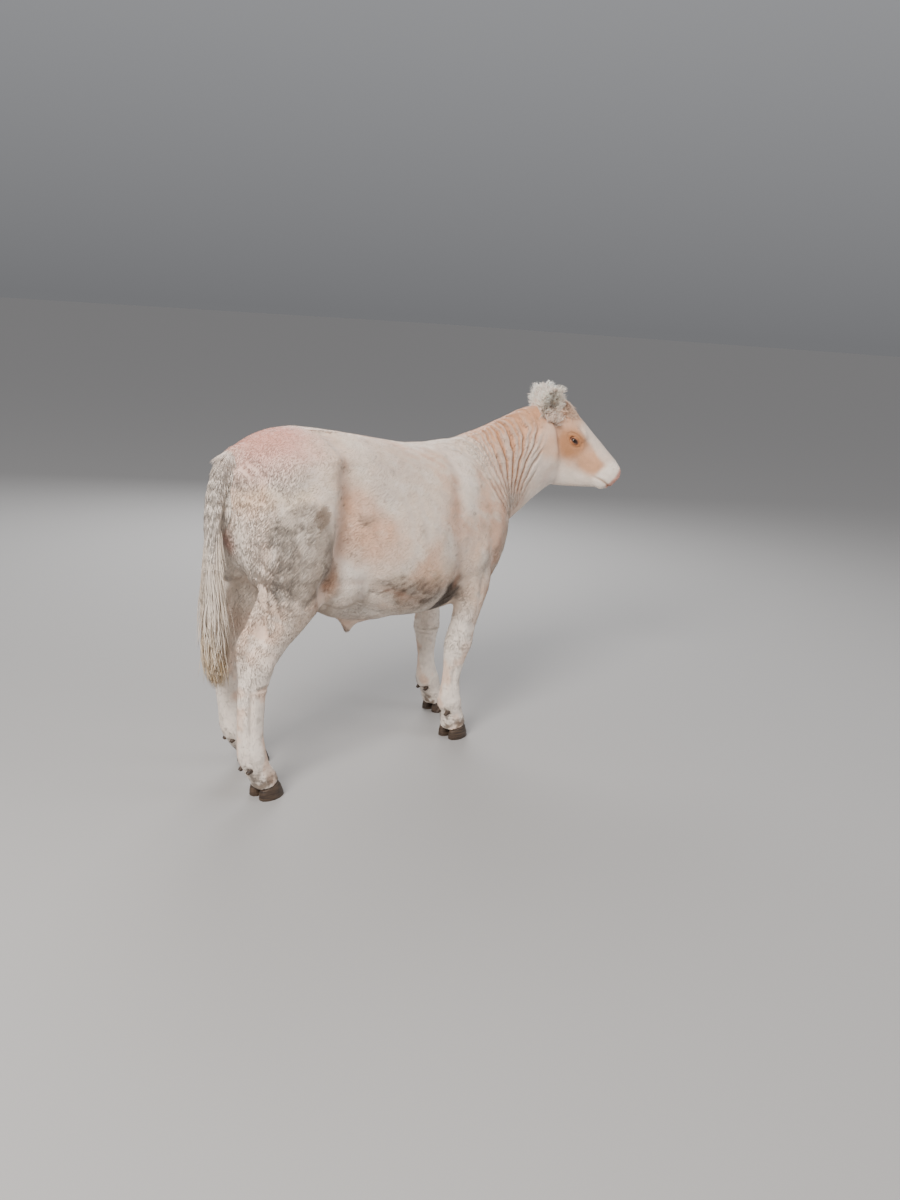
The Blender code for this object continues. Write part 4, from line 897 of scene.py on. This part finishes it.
def lie_field(points, normal):
    """The way the hair lies: back and down the body, down the legs, and up the face from the muzzle."""
    work = points - ORIGIN
    head, neck, legs, tail = regions(points)
    way = np.tile(np.array((-0.80, 0.0, -0.42)), (len(points), 1))
    way += np.outer(ramp(-work[:, 0], 0.30, 0.60), (0.35, 0, -0.75))
    way += np.outer(neck, (0.25, 0, -0.45))
    up_face = HEAD_AXES @ np.array((-1.0, 0.0, -0.18))
    for share, direction in ((legs, (-0.12, 0, -1)), (tail, (0, 0, -1)), (head, up_face)):
        way = way * (1 - share)[:, None] + np.outer(share, direction)
    way = unit(way - normal * np.sum(way * normal, axis=1, keepdims=True))
    calm = 1 - 0.6 * np.maximum(tail, wavy(work))
    swirl = (0.24 * noise(work, 0.05, 80) + 0.13 * noise(work, 0.018, 81)) * calm
    swirl += 0.10 * wavy(work) * noise(work, 0.030, 82)
    across = np.cross(normal, way)
    return way * np.cos(swirl)[:, None] + across * np.sin(swirl)[:, None]


def wavy(work):
    """Where the coat is longer and slightly wavy: the outside of both thighs and the brisket."""
    share = np.zeros(len(work))
    for side in (RIGHT, LEFT):
        for centre, radii, most in LONG_FIELDS:
            share = np.maximum(share, most * near(mirror(work, side), centre, radii))
    return ramp(share, 0.1, 0.6)


def strand_faces(segments):
    """Face corners and corner counts of one strand: its sides, its tip and its root."""
    corners = []
    sizes = []
    for step in range(segments):
        for k in range(3):
            first = 3 * step + k
            second = 3 * step + (k + 1) % 3
            tip = step == segments - 1
            corners += [first, second, 3 * segments] if tip else [first, second, second + 3, first + 3]
            sizes.append(3 if tip else 4)
    return np.array(corners + [2, 1, 0]), np.array(sizes + [3])


def strands(root, out, lie, length, width, lift, wave, segments, draw, flat=0.6):
    """Tapered three-sided strands. Returns vertices, face corners, corner counts and flat coordinates."""
    count = len(root)
    lift = np.broadcast_to(lift, count)
    wave = np.broadcast_to(wave, count)
    across = unit(np.cross(lie, out))
    phase = draw.uniform(0, 2 * math.pi, count)
    point = root.copy()
    rings = []
    for step in range(segments):
        t = step / segments
        sway = wave * np.cos(phase + 5 * t)
        ahead = unit(lie + out * (lift * (1 - t) ** 1.5)[:, None] + across * sway[:, None])
        up = unit(np.cross(across, ahead))
        half = (width / 2 * (0.80 + 0.80 * t - 1.30 * t * t))[:, None]
        corners = [point + across * half, point + up * half * flat, point - across * half]
        rings.append(np.stack(corners, axis=1))
        point = point + ahead * (length / segments)[:, None]
    vertices = np.concatenate([*rings, point[:, None, :]], axis=1)
    along = np.append(np.repeat(np.arange(segments) / segments, 3), 1.0)
    sideways = np.array([-1.0, 0.0, 1.0] * segments + [0.0])
    return vertices, *strand_faces(segments), np.column_stack([sideways, along * 2 - 1])


def unwrap(points, normal):
    """Lays the skin's six sides out beside each other on the unit square, each by its own size."""
    low = points.min(axis=0)
    size = np.maximum(points.max(axis=0) - low, 0.02)
    share = (points - low) / size
    axis = np.argmax(np.abs(normal), axis=1)
    chart = axis * 2 + (normal[np.arange(len(normal)), axis] > 0)
    first = np.where(axis == 0, share[:, 1], share[:, 0])
    second = np.where(axis == 2, share[:, 1], share[:, 2])
    return np.column_stack([(chart % 3 + 0.04 + 0.92 * first) / 3, (chart // 3 + 0.03 + 0.94 * second) / 2])


def hair_object(name, built, root_uv, colours, slot, finish, root_shade=COAT_ROOT_SHADE):
    """Joins strands into one mesh, with their tint and the map of where each grows."""
    vertices, corners, sizes, local = built
    count, each, _ = vertices.shape
    mesh = bpy.data.meshes.new(name)
    mesh.vertices.add(count * each)
    mesh.vertices.foreach_set("co", np.clip(vertices, LOW, HIGH).ravel())
    loops = (corners[None, :] + (np.arange(count) * each)[:, None]).ravel()
    mesh.loops.add(len(loops))
    mesh.loops.foreach_set("vertex_index", loops.astype(np.int32))
    totals = np.tile(sizes, count)
    mesh.polygons.add(len(totals))
    mesh.polygons.foreach_set("loop_start", np.concatenate([[0], np.cumsum(totals)[:-1]]).astype(np.int32))
    mesh.update(calc_edges=True)
    patch = (root_uv[:, None, :] + local[None, :, :] * STRAND_PATCH).reshape(-1, 2)
    layer = mesh.uv_layers.new(name="OFBake")
    layer.data.foreach_set("uv", patch[loops].ravel())
    # Each strand darkens towards its root: painted shade, where the strands shade each other
    shade = root_shade + (TIP_SHADE - root_shade) * (local[:, 1] * 0.5 + 0.5)
    dress(mesh, np.clip(colours[:, None, :] * shade[None, :, None], 0, 1).reshape(-1, 3), finish)
    return new_object(name, mesh, slot)


def coat_pieces(points, long):
    """Splits the roots into groups, each small enough for one piece: name, roots, long, on the head."""
    work = points - ORIGIN
    head, neck, legs, tail = regions(points)
    side = np.where(np.where(head > 0.5, to_head(points)[:, 1], work[:, 1]) < 0, "right", "left")
    kind = np.full(len(points), "body", dtype=object)
    kind[work[:, 2] < LEG_TOP[1]] = "belly"
    kind[(legs > 0.5) & (work[:, 0] > 0)] = "foreleg"
    kind[(legs > 0.5) & (work[:, 0] <= 0)] = "hindleg"
    kind[neck > 0.5] = "neck"
    kind[head > 0.5] = "head"
    kind[long] = "thigh"
    kind[long & (work[:, 0] > 0)] = "brisket"
    kind[tail > 0.5] = "tail"
    groups = []
    for label in ("body", "belly", "foreleg", "hindleg", "neck", "head", "thigh", "brisket", "tail"):
        for word in ("right", "left"):
            chosen = np.flatnonzero((kind == label) & (side == word))
            if not len(chosen):
                continue
            chosen = chosen[np.argsort(points[chosen, 0])]
            is_long = label in ("thigh", "brisket", "tail")
            parts = math.ceil(len(chosen) / (MOST_LONG_TUFTS if is_long else MOST_SHORT_TUFTS))
            for number, part in enumerate(np.array_split(chosen, parts)):
                groups.append((f"coat_{label}_{word}_{number + 1}", part, is_long, label == "head"))
    return groups


def bare_places(points, draw):
    """Where no coat grows: eyes, wet nose, horn, and a share of the grid, most on the head's finer one."""
    head = regions(points)[0]
    local = to_head(points)
    bare = (eye_distance(local) < 1.7) & (head > 0.5)
    bare |= (head > 0.5) & (local[:, 0] > NOSE_START) & (local[:, 2] > -0.125)
    bare |= ((points - ORIGIN)[:, 2] < HORN_TOP) & (head < 0.5)
    bare |= (beyond(points, HEAD_CUT) > 0.0) & (draw.uniform(0, 1, len(points)) < 0.42)
    bare |= draw.uniform(0, 1, len(points)) < 0.15 * (1 - wavy(points - ORIGIN))
    return bare


def long_places(points):
    return (wavy(points - ORIGIN) > LONG_COAT) | (regions(points)[3] > 0.5)


def tuft_roots(points, normal, lie, draw):
    """Roots strewn round the grid's points and sunk a little, and the ways in which their tufts lie."""
    count = len(points)
    across = np.cross(normal, lie)
    spread = np.where(beyond(points, HEAD_CUT) > 0, 0.0015, 0.0034)[:, None]
    root = points + lie * draw.uniform(-1, 1, (count, 1)) * spread - normal * 0.0012
    root += across * draw.uniform(-1, 1, (count, 1)) * spread
    turned = draw.normal(0, 0.10, (count, 1)) * (1 - 0.4 * wavy(points - ORIGIN))[:, None]
    return root, unit(lie + across * turned)


def tuft_sizes(points, draw):
    """Length, width, lift and wave of each tuft, by the region where it grows."""
    count = len(points)
    work = points - ORIGIN
    _, neck, legs, tail = regions(points)
    thick = wavy(work)
    face = ramp(beyond(points, HEAD_CUT), -0.10, 0.08)
    feet = 1 - ramp(work[:, 2], 0.16, 0.50)
    length = COAT_LENGTH + 0.0205 * thick + 0.028 * tail - 0.0050 * feet - 0.0040 * neck
    length = (length * (1 - face) + FACE_LENGTH * face) * draw.uniform(0.70, 1.25, count)
    width = COAT_WIDTH - 0.0007 * thick - 0.0007 * tail - 0.0004 * feet - 0.0006 * legs
    width = (width * (1 - face) + FACE_WIDTH * face) * draw.uniform(0.75, 1.2, count)
    lift = 0.14 - 0.04 * thick - 0.06 * tail - 0.04 * legs * (1 - thick) + 0.04 * draw.uniform(-1, 1, count)
    wave = 0.08 - 0.02 * thick - 0.03 * tail
    return length, width, lift, wave


def make_coat(skin, finish):
    """Tufts at the points of the skin's grid: one on the head, three where the coat is long, else two."""
    draw = np.random.default_rng(5)
    points = coords(skin.data)
    normal = normals(skin.data)
    lie = lie_field(points, normal)
    colours = coat_colour(points)
    chosen = np.flatnonzero(~bare_places(points, draw))
    fine = beyond(points[chosen], HEAD_CUT) > 0.0
    chosen = np.repeat(chosen, np.where(long_places(points[chosen]), 3, np.where(fine, 1, 2)))
    points, normal, colours = points[chosen], normal[chosen], colours[chosen]
    root, lie = tuft_roots(points, normal, lie[chosen], draw)
    sizes = tuft_sizes(points, draw)
    uneven = (0.04 + 0.03 * wavy(points - ORIGIN))[:, None] * draw.uniform(-1, 1, (len(points), 1))
    colours = np.clip(colours * (1 + uneven), 0, 1)
    for name, part, is_long, on_head in coat_pieces(points, long_places(points)):
        shape = (size[part] for size in sizes)
        built = strands(root[part], normal[part], lie[part], *shape, 2 if is_long else 1, draw, 0.42)
        slot = "tan_face" if on_head else ("tan_coat" if "neck" in name else "cream_coat")
        hair_object(name, built, unwrap(points[part], normal[part]), colours[part], slot, finish)


def set_inputs(node, values):
    for name, value in values.items():
        node.inputs[name].default_value = value


class Looks:
    """A new material or world, with the few kinds of nodes that its looks are put together from."""

    def __init__(self, made, shader, values):
        self.made = made
        self.made.use_nodes = True
        self.nodes = made.node_tree.nodes
        self.link = made.node_tree.links.new
        self.shader = self.nodes[shader]
        set_inputs(self.shader, values)

    def add(self, kind, **values):
        node = self.nodes.new(f"ShaderNode{kind}")
        set_inputs(node, {name.replace("_", " "): value for name, value in values.items()})
        return node

    def noise(self, place, scale, detail):
        node = self.add("TexNoise", Scale=scale, Detail=detail)
        self.link(place, node.inputs["Vector"])
        return node.outputs["Fac"]

    def relief(self, height, strength, distance):
        bump = self.add("Bump", Strength=strength, Distance=distance)
        self.link(height, bump.inputs["Height"])
        self.link(bump.outputs["Normal"], self.shader.inputs["Normal"])


def new_finish(name, values):
    return Looks(bpy.data.materials.new(name), "Principled BSDF", values)


def make_finish(name, roughness, grain_size, grain_depth, sheen=0.0, coat=0.0):
    """A material tinted by the vertices' own colours, with fine mottling and relief."""
    values = {
        "Roughness": roughness,
        "Sheen Weight": sheen,
        "Sheen Roughness": 0.5,
        "Coat Weight": coat,
        "Coat Roughness": 0.05,
        "Specular IOR Level": 0.3,
    }
    finish = new_finish(name, values)
    tint = finish.add("Attribute")
    tint.attribute_name = "tint"
    place = finish.add("TexCoord").outputs["Object"]
    level = finish.add("MapRange", To_Min=0.91, To_Max=1.09)
    finish.link(finish.noise(place, 1 / (grain_size * 6), 4), level.inputs["Value"])
    mix = finish.add("VectorMath")
    mix.operation = "SCALE"
    finish.link(tint.outputs["Color"], mix.inputs[0])
    finish.link(level.outputs["Result"], mix.inputs["Scale"])
    finish.link(mix.outputs["Vector"], finish.shader.inputs["Base Color"])
    finish.relief(finish.noise(place, 1 / grain_size, 3), 0.6, grain_depth)
    return finish.made


def ear_width(t):
    stalk = 0.42 + 0.58 * ramp(t, 0.0, 0.38)
    tip = np.sqrt(np.maximum(0.0, 1 - np.maximum(0.0, (t - 0.45) / 0.56) ** 2.4))
    return EAR_WIDTH / 2 * stalk * tip


def ear_frame(side):
    """The ear's line, the way its cup opens, the way to its edge, and its root, in the head's frame."""
    line = np.array(Vector(mirror(EAR_LINE, side)).normalized())
    opening = mirror(EAR_OPENING, side)
    opening = opening - line * opening.dot(line)
    opening /= np.linalg.norm(opening)
    return line, opening, np.cross(line, opening), mirror(EAR_ROOT, side)


def ear_points(side, t, across):
    """Points of the ear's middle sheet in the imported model's frame."""
    line, opening, edge, root = ear_frame(side)
    width = ear_width(t)
    cup = EAR_CUP * (1 - 0.45 * t) * (width / (EAR_WIDTH / 2))
    curl = 1 - 0.22 * (1 - t)
    made = root + np.outer(EAR_LENGTH * t, line) + np.outer(0.018 * t * t + cup * (across**2 - 0.6), opening)
    return from_head(made + np.outer(width * across * curl, edge))


def make_ear_sheet(side, finish):
    """The ear's cupped sheet, peach inside the cup. Returns its mesh."""
    rows, columns = EAR_GRID
    t = np.repeat(np.linspace(0.0, 0.995, rows), columns)
    across = np.tile(np.linspace(-1, 1, columns), rows)
    sheet = grid_mesh("ear", ear_points(side, t, across), columns)
    mesh = modified(sheet, "SOLIDIFY", thickness=EAR_THICKNESS, offset=0)
    inward = normals(mesh) @ (HEAD_AXES @ ear_frame(side)[1])
    dress(mesh, blend(WHITE, PEACH, 0.40 * ramp(inward, 0.2, 0.8)), finish)
    ear = new_object(f"ear_{SIDE_NAMES[side]}_skin", mesh, "white_ear")
    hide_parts(f"ear_{SIDE_NAMES[side]}")
    return mesh


def add_ear_fur(side, sheet, draw, finish):
    """Short fur over the whole sheet, lying towards the tip."""
    count = EAR_FUR
    points = coords(sheet)
    pick = draw.integers(0, len(points), count)
    out = normals(sheet)[pick]
    tipward = HEAD_AXES @ ear_frame(side)[0]
    lie = unit(tipward - out * (out @ tipward)[:, None] + 0.175 * draw.normal(0, 1, (count, 3)))
    length = draw.uniform(0.010, 0.018, count)
    width = draw.uniform(0.0024, 0.0036, count)
    root = points[pick] - out * 0.0008
    built = strands(root, out, lie, length, width, lift=0.35, wave=0.2, segments=2, draw=draw)
    tone = blend(WHITE, CREAM, draw.uniform(0, 0.8, count))
    hair_object(f"ear_{SIDE_NAMES[side]}_fur", built, unwrap(points[pick], out), tone, "white_ear", finish)


def add_ear_locks(side, draw, finish):
    """Long pale hair out of the cup and along the rim."""
    count = EAR_LOCKS
    line, opening, _, _ = ear_frame(side)
    tipward = HEAD_AXES @ line
    t = draw.uniform(0.02, 0.98, count)
    rim = draw.uniform(0, 1, count) < 0.30
    on_rim = draw.choice((-1, 1), count) * draw.uniform(0.86, 1.0, count)
    across = np.where(rim, on_rim, draw.uniform(-0.8, 0.8, count))
    t = np.where(rim, t, draw.uniform(0.02, 0.75, count))
    root = ear_points(side, t, across)
    outward = unit(root - ear_points(side, t, across * 0.6))
    turned = np.where(rim | (draw.uniform(0, 1, count) < 0.62), 1.0, -1.0)[:, None]
    facing = turned * (HEAD_AXES @ opening)
    lie = np.where(rim[:, None], outward * 0.7, facing * 0.35) + tipward * (0.35 + 0.6 * t)[:, None]
    lie = unit(unit(lie) + 0.24 * draw.normal(0, 1, (count, 3)))
    lie = unit(lie + 0.9 * noise(root, 0.020, 11)[:, None] * np.cross(facing, tipward))
    length = np.where(rim, draw.uniform(0.018, 0.050, count), draw.uniform(0.018, 0.048, count))
    width = draw.uniform(0.0022, 0.0046, count)
    lift = draw.uniform(0.10, 0.55, count)
    built = strands(root, facing, lie, length, width, lift, wave=0.60, segments=4, draw=draw)
    tone = blend(WHITE * 1.18, TAN, 0.36 * draw.uniform(0, 1, count) ** 2 * (1.1 - t))
    tone *= (1 + 0.12 * noise(root, 0.014, 12) + 0.10 * draw.uniform(-1, 1, count))[:, None]
    tone = np.clip(tone, 0, 1)
    flat = unwrap(root, facing + outward)
    hair_object(f"ear_{SIDE_NAMES[side]}_locks", built, flat, tone, "white_ear", finish, EAR_ROOT_SHADE)


def add_ear_base(side, skin, draw, finish):
    """Longer hair on the head round the ear's root, which hides the joint."""
    count = EAR_BASE
    points = coords(skin.data)
    away = to_head(points) - mirror(EAR_ROOT, side)
    pick = draw.choice(np.flatnonzero(np.linalg.norm(away, axis=1) < 0.050), count)
    out = normals(skin.data)[pick]
    lie = HEAD_AXES @ ear_frame(side)[0] + 0.30 * unit(away[pick] @ HEAD_AXES.T)
    lie = unit(lie + 0.28 * draw.normal(0, 1, (count, 3)))
    length = draw.uniform(0.022, 0.046, count)
    width = draw.uniform(0.0026, 0.0044, count)
    root = points[pick] - out * SUNK_ROOT
    built = strands(root, out, lie, length, width, lift=0.15, wave=0.55, segments=3, draw=draw)
    tone = blend(WHITE * 1.1, PEACH, draw.uniform(0.0, 0.55, count))
    flat = unwrap(points[pick], out)
    hair_object(f"ear_{SIDE_NAMES[side]}_base", built, flat, tone, "white_ear", finish, EAR_ROOT_SHADE)


def make_ear(side, skin, skin_finish, hair_finish):
    draw = np.random.default_rng(30 + side)
    add_ear_fur(side, make_ear_sheet(side, skin_finish), draw, hair_finish)
    add_ear_locks(side, draw, hair_finish)
    add_ear_base(side, skin, draw, hair_finish)


def make_tuft(skin, finish):
    """Curly locks, high over the poll and lower towards the brow, where they lie down on the forehead."""
    draw = np.random.default_rng(41)
    count = POLL_TUFT
    points = coords(skin.data)
    local = to_head(points)
    room = np.hypot((local[:, 0] - 0.018) / 0.078, local[:, 1] / 0.074) + 0.30 * noise(local, 0.030, 10)
    sparse = draw.uniform(0.45, 1.15, len(points))
    pick = draw.choice(np.flatnonzero((room < sparse) & (local[:, 2] > -0.045)), count)
    out = normals(skin.data)[pick]
    place = local[pick]
    clump = place + 0.004 * draw.normal(0, 1, (count, 3))
    turn = 1.5 * noise(clump, 0.026, 7) + 0.5 * noise(clump, 0.012, 8)
    way = np.column_stack([0.9 * np.cos(turn), place[:, 1] * 9 + 0.9 * np.sin(turn), np.full(count, -0.10)])
    low = ramp(place[:, 0], 0.005, 0.085)
    length = draw.uniform(0.024, 0.056, count) * (1 - 0.30 * low)
    width = draw.uniform(0.0024, 0.0046, count)
    lift = draw.uniform(0.35, 1.25, count) * (1 - 0.75 * low)
    lie = unit(way @ HEAD_AXES.T)
    root = points[pick] - out * SUNK_ROOT
    built = strands(root, out, lie, length, width, lift, wave=0.75, segments=5, draw=draw)
    tone = blend(CREAM * 1.18, TAN, 0.10 + 0.50 * noise(place, 0.015, 9) + 0.15 * low)
    hair_object("poll_tuft", built, unwrap(points[pick], out), tone, "tan_face", finish, TUFT_ROOT_SHADE)


def make_switch_core(finish):
    """The tail's core below its shaft, which the locks of the switch grow from."""
    rings = []
    for height in np.linspace(SWITCH_TOP + 0.02, HANGING_TAIL[-1, 1], CORE_RINGS):
        x, thick, width = tail_at(height, 0, 2, 3)
        for angle in 2 * math.pi * np.arange(CORE_STEPS) / CORE_STEPS:
            rings.append((x + 0.9 * thick * math.cos(angle), 0.9 * width * math.sin(angle), height))
    top = range(CORE_STEPS)
    bottom = range(len(rings) - 1, len(rings) - CORE_STEPS - 1, -1)
    points = np.array(rings) + ORIGIN
    mesh = grid_mesh("switch_core", points, CORE_STEPS, around=True, flip=True, caps=(top, bottom))
    dress(mesh, blend(WHITE, YELLOW, np.full(len(points), 0.35)), finish)
    core = new_object("switch_core", mesh, "white_tail")
    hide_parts("tail_switch")


def make_switch_locks(finish):
    """The long, slightly wavy hair of the switch, yellower towards its tip."""
    draw = np.random.default_rng(52)
    count = SWITCH_LOCKS
    reach = SWITCH_TOP + 0.140 - HANGING_TAIL[-1, 1]
    height = SWITCH_TOP + 0.150 - reach * draw.uniform(0, 1, count) ** 0.72
    angle = draw.uniform(0, 2 * math.pi, count)
    x, thick, width = tail_at(height, 0, 2, 3)
    out = np.column_stack([thick * np.cos(angle), width * np.sin(angle), np.zeros(count)])
    root = np.column_stack([x, np.zeros(count), height]) + out * 0.85 + ORIGIN
    lowest = SWITCH_TIP + 0.12 * draw.uniform(0, 1, count) ** 1.3
    longest = draw.uniform(0.15, 0.27, count) - 0.10 * ramp(height, SWITCH_TOP, SWITCH_TOP + 0.1)
    length = np.clip(height - lowest, 0.05, longest)
    clump = 0.10 * np.sin(angle * 3 + height * 9)
    back = 0.07 + draw.normal(0, 0.04, count)
    lie = np.column_stack([back, clump + draw.normal(0, 0.04, count), -np.ones(count)])
    lie -= out * 3.0 * ramp(SWITCH_TOP - height, 0.05, 0.22)[:, None]
    below = SWITCH_TOP + 0.15 - height
    lift = draw.uniform(0.02, 0.20, count) * ramp(below, 0.0, 0.20)
    wave = draw.uniform(0.12, 0.38, count) * ramp(below, 0.0, 0.25)
    width = draw.uniform(0.0026, 0.0052, count)
    built = strands(root, unit(out), unit(lie), length, width, lift, wave, segments=6, draw=draw, flat=0.45)
    low = ramp(SWITCH_TOP - height, 0.02, 0.20)
    tone = blend(WHITE, YELLOW, 0.15 + 0.65 * low * draw.uniform(0.3, 1.3, count))
    hair_object("switch_locks", built, unwrap(root, unit(out)), tone, "white_tail", finish, SWITCH_ROOT_SHADE)


def make_eye(side, finish):
    """A dark wet eyeball with a long lying pupil."""
    shape = bmesh.new()
    bmesh.ops.create_uvsphere(shape, u_segments=64, v_segments=40, radius=EYE_RADIUS)
    mesh = closed(shape, bpy.data.meshes.new("eye"))
    ball = coords(mesh)
    turned = np.column_stack([ball[:, 0], side * ball[:, 2], ball[:, 1]])
    set_coords(mesh, from_head(turned + mirror(EYE_PLACE, side)))
    pupil = np.hypot(turned[:, 0] / PUPIL_SIZE[0], turned[:, 2] / PUPIL_SIZE[1])
    colour = blend(IRIS, PUPIL, 1 - ramp(pupil, 0.8, 1.1))
    look = np.hypot(turned[:, 0], turned[:, 2]) / EYE_RADIUS
    dress(mesh, blend(colour, EYE_WHITE, ramp(look, 0.80, 0.90)), finish)
    shape = opened(mesh)
    bmesh.ops.recalc_face_normals(shape, faces=shape.faces)
    eye = new_object(f"eyeball_{SIDE_NAMES[side]}", closed(shape, mesh), "wet_eye")
    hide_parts(f"eye_{SIDE_NAMES[side]}")


# Rings of the lids, from the ball out: size in openings, rise, how far each lies on the skin, how tan it is
LID_RINGS = (
    (0.94, 0.0002, 0.0, 0.0),
    (1.00, 0.0016, 0.0, 0.0),
    (1.07, 0.0030, 0.0, 0.1),
    (1.20, 0.0034, 0.15, 0.45),
    (1.36, 0.0022, 0.55, 0.8),
    (1.50, 0.0008, 0.90, 1.0),
    (1.85, 0.0010, 1.0, 1.0),
    (2.2, -0.0012, 1.0, 1.0),
)
LID_STEPS = 48


def lid_place(side, tree, angle, scale, proud, on_skin):
    """One place of a lid's ring: between ball and skin, and never down inside the ball."""
    towards = Vector(HEAD_AXES @ np.array((0, -side, 0)))
    tall = EYE_OPENING[1] if math.sin(angle) > 0 else EYE_OPENING[2]
    a = EYE_OPENING[0] * math.cos(angle) * scale
    b = tall * math.sin(angle) * abs(math.sin(angle)) ** 0.25 * scale + 0.0012 * math.cos(angle)
    ball = EYE_PLACE[1] + math.sqrt(max(0.0, (EYE_RADIUS + 0.0004) ** 2 - a * a - b * b))
    start = from_head(np.array([(EYE_PLACE[0] + a, side * 0.15, EYE_PLACE[2] + b)]))[0]
    hit = tree.ray_cast(Vector(start), towards)[0]
    surface = abs(to_head(np.array([hit]))[0, 1]) if hit else ball
    height = max(ball * (1 - on_skin) + surface * on_skin + proud, ball + min(proud, 0.0010))
    return EYE_PLACE[0] + a, side * height, EYE_PLACE[2] + b


def make_lids(side, skin, finish):
    """Upper and lower lid round the eye: from the ball, over a thick rim, down into the skin."""
    tree = BVHTree.FromObject(skin, bpy.context.evaluated_depsgraph_get())
    rings = []
    for scale, proud, on_skin, _ in LID_RINGS:
        for angle in 2 * math.pi * np.arange(LID_STEPS) / LID_STEPS:
            rings.append(lid_place(side, tree, angle, scale, proud, on_skin))
    mesh = grid_mesh("lids", from_head(np.array(rings)), LID_STEPS, around=True, flip=side == RIGHT)
    tan = np.repeat([ring[-1] for ring in LID_RINGS], LID_STEPS)
    dress(mesh, blend(LID_BROWN, LID_TAN, tan), finish)
    new_object(f"lids_{SIDE_NAMES[side]}", mesh, "tan_face")


def horn_finish():
    """Worn horn: dark, with paler rings and fine relief round the claw."""
    finish = new_finish("horn", {"Roughness": 0.55})
    stretch = finish.add("Mapping", Scale=(1, 1, 9))
    finish.link(finish.add("TexCoord").outputs["Object"], stretch.inputs["Vector"])
    rings = finish.noise(stretch.outputs["Vector"], 22, 5)
    tone = finish.add("ValToRGB")
    for element, position, colour in zip(tone.color_ramp.elements, (0.35, 0.70), (HORN, WORN_HORN)):
        element.position = position
        element.color = (*colour, 1)
    finish.link(rings, tone.inputs["Fac"])
    finish.link(tone.outputs["Color"], finish.shader.inputs["Base Color"])
    finish.relief(rings, 0.7, 0.002)
    return finish.made


def make_claw(name, finish):
    """A rounded, slightly ridged copy of one claw or dewclaw."""
    shape = opened(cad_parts[name].data, weld=True)
    for edge in shape.edges:
        if len(edge.link_faces) == 2 and edge.calc_face_angle(0) > math.radians(50):
            edge.smooth = False
    mesh = closed(shape, bpy.data.meshes.new(name))
    made = modified(mesh, "SUBSURF", subdivision_type="SIMPLE", levels=2, render_levels=2)
    points = coords(made)
    ridge = 0.0005 * np.sin(points[:, 2] * 2 * math.pi / HORN_RIDGE) - 0.0006
    above_floor = points[:, 2] > 0.004
    set_coords(made, points + normals(made) * (ridge * above_floor)[:, None])
    made.shade_smooth()
    made.set_sharp_from_angle(angle=math.radians(45))
    made.materials.clear()
    made.materials.append(finish)
    claw = new_object(f"{name}_horn", made, "horn_dewclaw" if name.startswith("dew") else "horn_claw")
    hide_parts(name)


def make_camera():
    camera = bpy.data.cameras.new("camera")
    camera.sensor_fit = "VERTICAL"
    camera.sensor_height = FILM_HEIGHT
    camera.lens = CAMERA_FOCUS / PICTURE_HEIGHT * FILM_HEIGHT
    item = new_object("camera", camera)
    heading = math.radians(90) - CAMERA_YAW
    level = math.cos(CAMERA_PITCH)
    forward = Vector((math.cos(heading) * level, math.sin(heading) * level, -math.sin(CAMERA_PITCH)))
    turn = forward.to_track_quat("-Z", "Y").to_matrix().to_4x4()
    place = Matrix.Translation(Vector(CAMERA_PLACE) + Vector(ORIGIN))
    item.matrix_world = place @ turn @ Matrix.Rotation(CAMERA_ROLL, 4, "Z")
    bpy.context.scene.camera = item


def make_light(name, place, aim, size, energy, colour):
    light = bpy.data.lights.new(name, "AREA")
    light.shape = "DISK"
    light.size = size
    light.energy = energy
    light.color = colour
    item = new_object(name, light)
    item.location = place
    item.rotation_mode = "QUATERNION"
    item.rotation_quaternion = (Vector(aim) - Vector(place)).to_track_quat("-Z", "Y")


def make_world():
    """An even pale sky, dimmer at the horizon so that the floor runs into it."""
    sky = Looks(bpy.data.worlds.new("studio"), "Background", {"Color": (0.95, 0.96, 1.0, 1)})
    parts = sky.add("SeparateXYZ")
    sky.link(sky.add("TexCoord").outputs["Generated"], parts.inputs["Vector"])
    level = sky.add("MapRange", From_Max=0.7, To_Min=HORIZON, To_Max=ZENITH)
    sky.link(parts.outputs["Z"], level.inputs["Value"])
    sky.link(level.outputs["Result"], sky.shader.inputs["Strength"])
    bpy.context.scene.world = sky.made


def make_studio():
    """Sky, a wide pale floor without shine, and the lights."""
    make_world()
    bpy.ops.mesh.primitive_plane_add(size=400, location=(0, 0, 0))
    floor = bpy.context.object
    floor.name = "floor"
    values = {"Base Color": (0.40, 0.39, 0.38, 1), "Roughness": 1.0, "Specular IOR Level": 0.0}
    floor.data.materials.append(new_finish("floor_pale", values).made)
    for light in LIGHTS:
        make_light(*light)


def main():
    make_camera()
    make_studio()
    skin_finish = make_finish("hide", roughness=0.62, grain_size=0.0016, grain_depth=0.0012, sheen=0.1)
    hair_finish = make_finish("hair", roughness=0.68, grain_size=0.0022, grain_depth=0.0004, sheen=0.25)
    lid_finish = make_finish("wet_lid", roughness=0.35, grain_size=0.0014, grain_depth=0.0004)
    eye_finish = make_finish("wet_eye_look", roughness=0.20, grain_size=0.004, grain_depth=0.0, coat=0.35)

    skin = make_skin(skin_finish)
    for side in (RIGHT, LEFT):
        make_eye(side, eye_finish)
        make_lids(side, skin, lid_finish)
        make_ear(side, skin, skin_finish, hair_finish)
    make_tuft(skin, hair_finish)
    make_switch_core(skin_finish)
    make_switch_locks(hair_finish)
    claw_finish = horn_finish()
    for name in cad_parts:
        if "claw" in name:
            make_claw(name, claw_finish)
    make_coat(skin, hair_finish)


main()
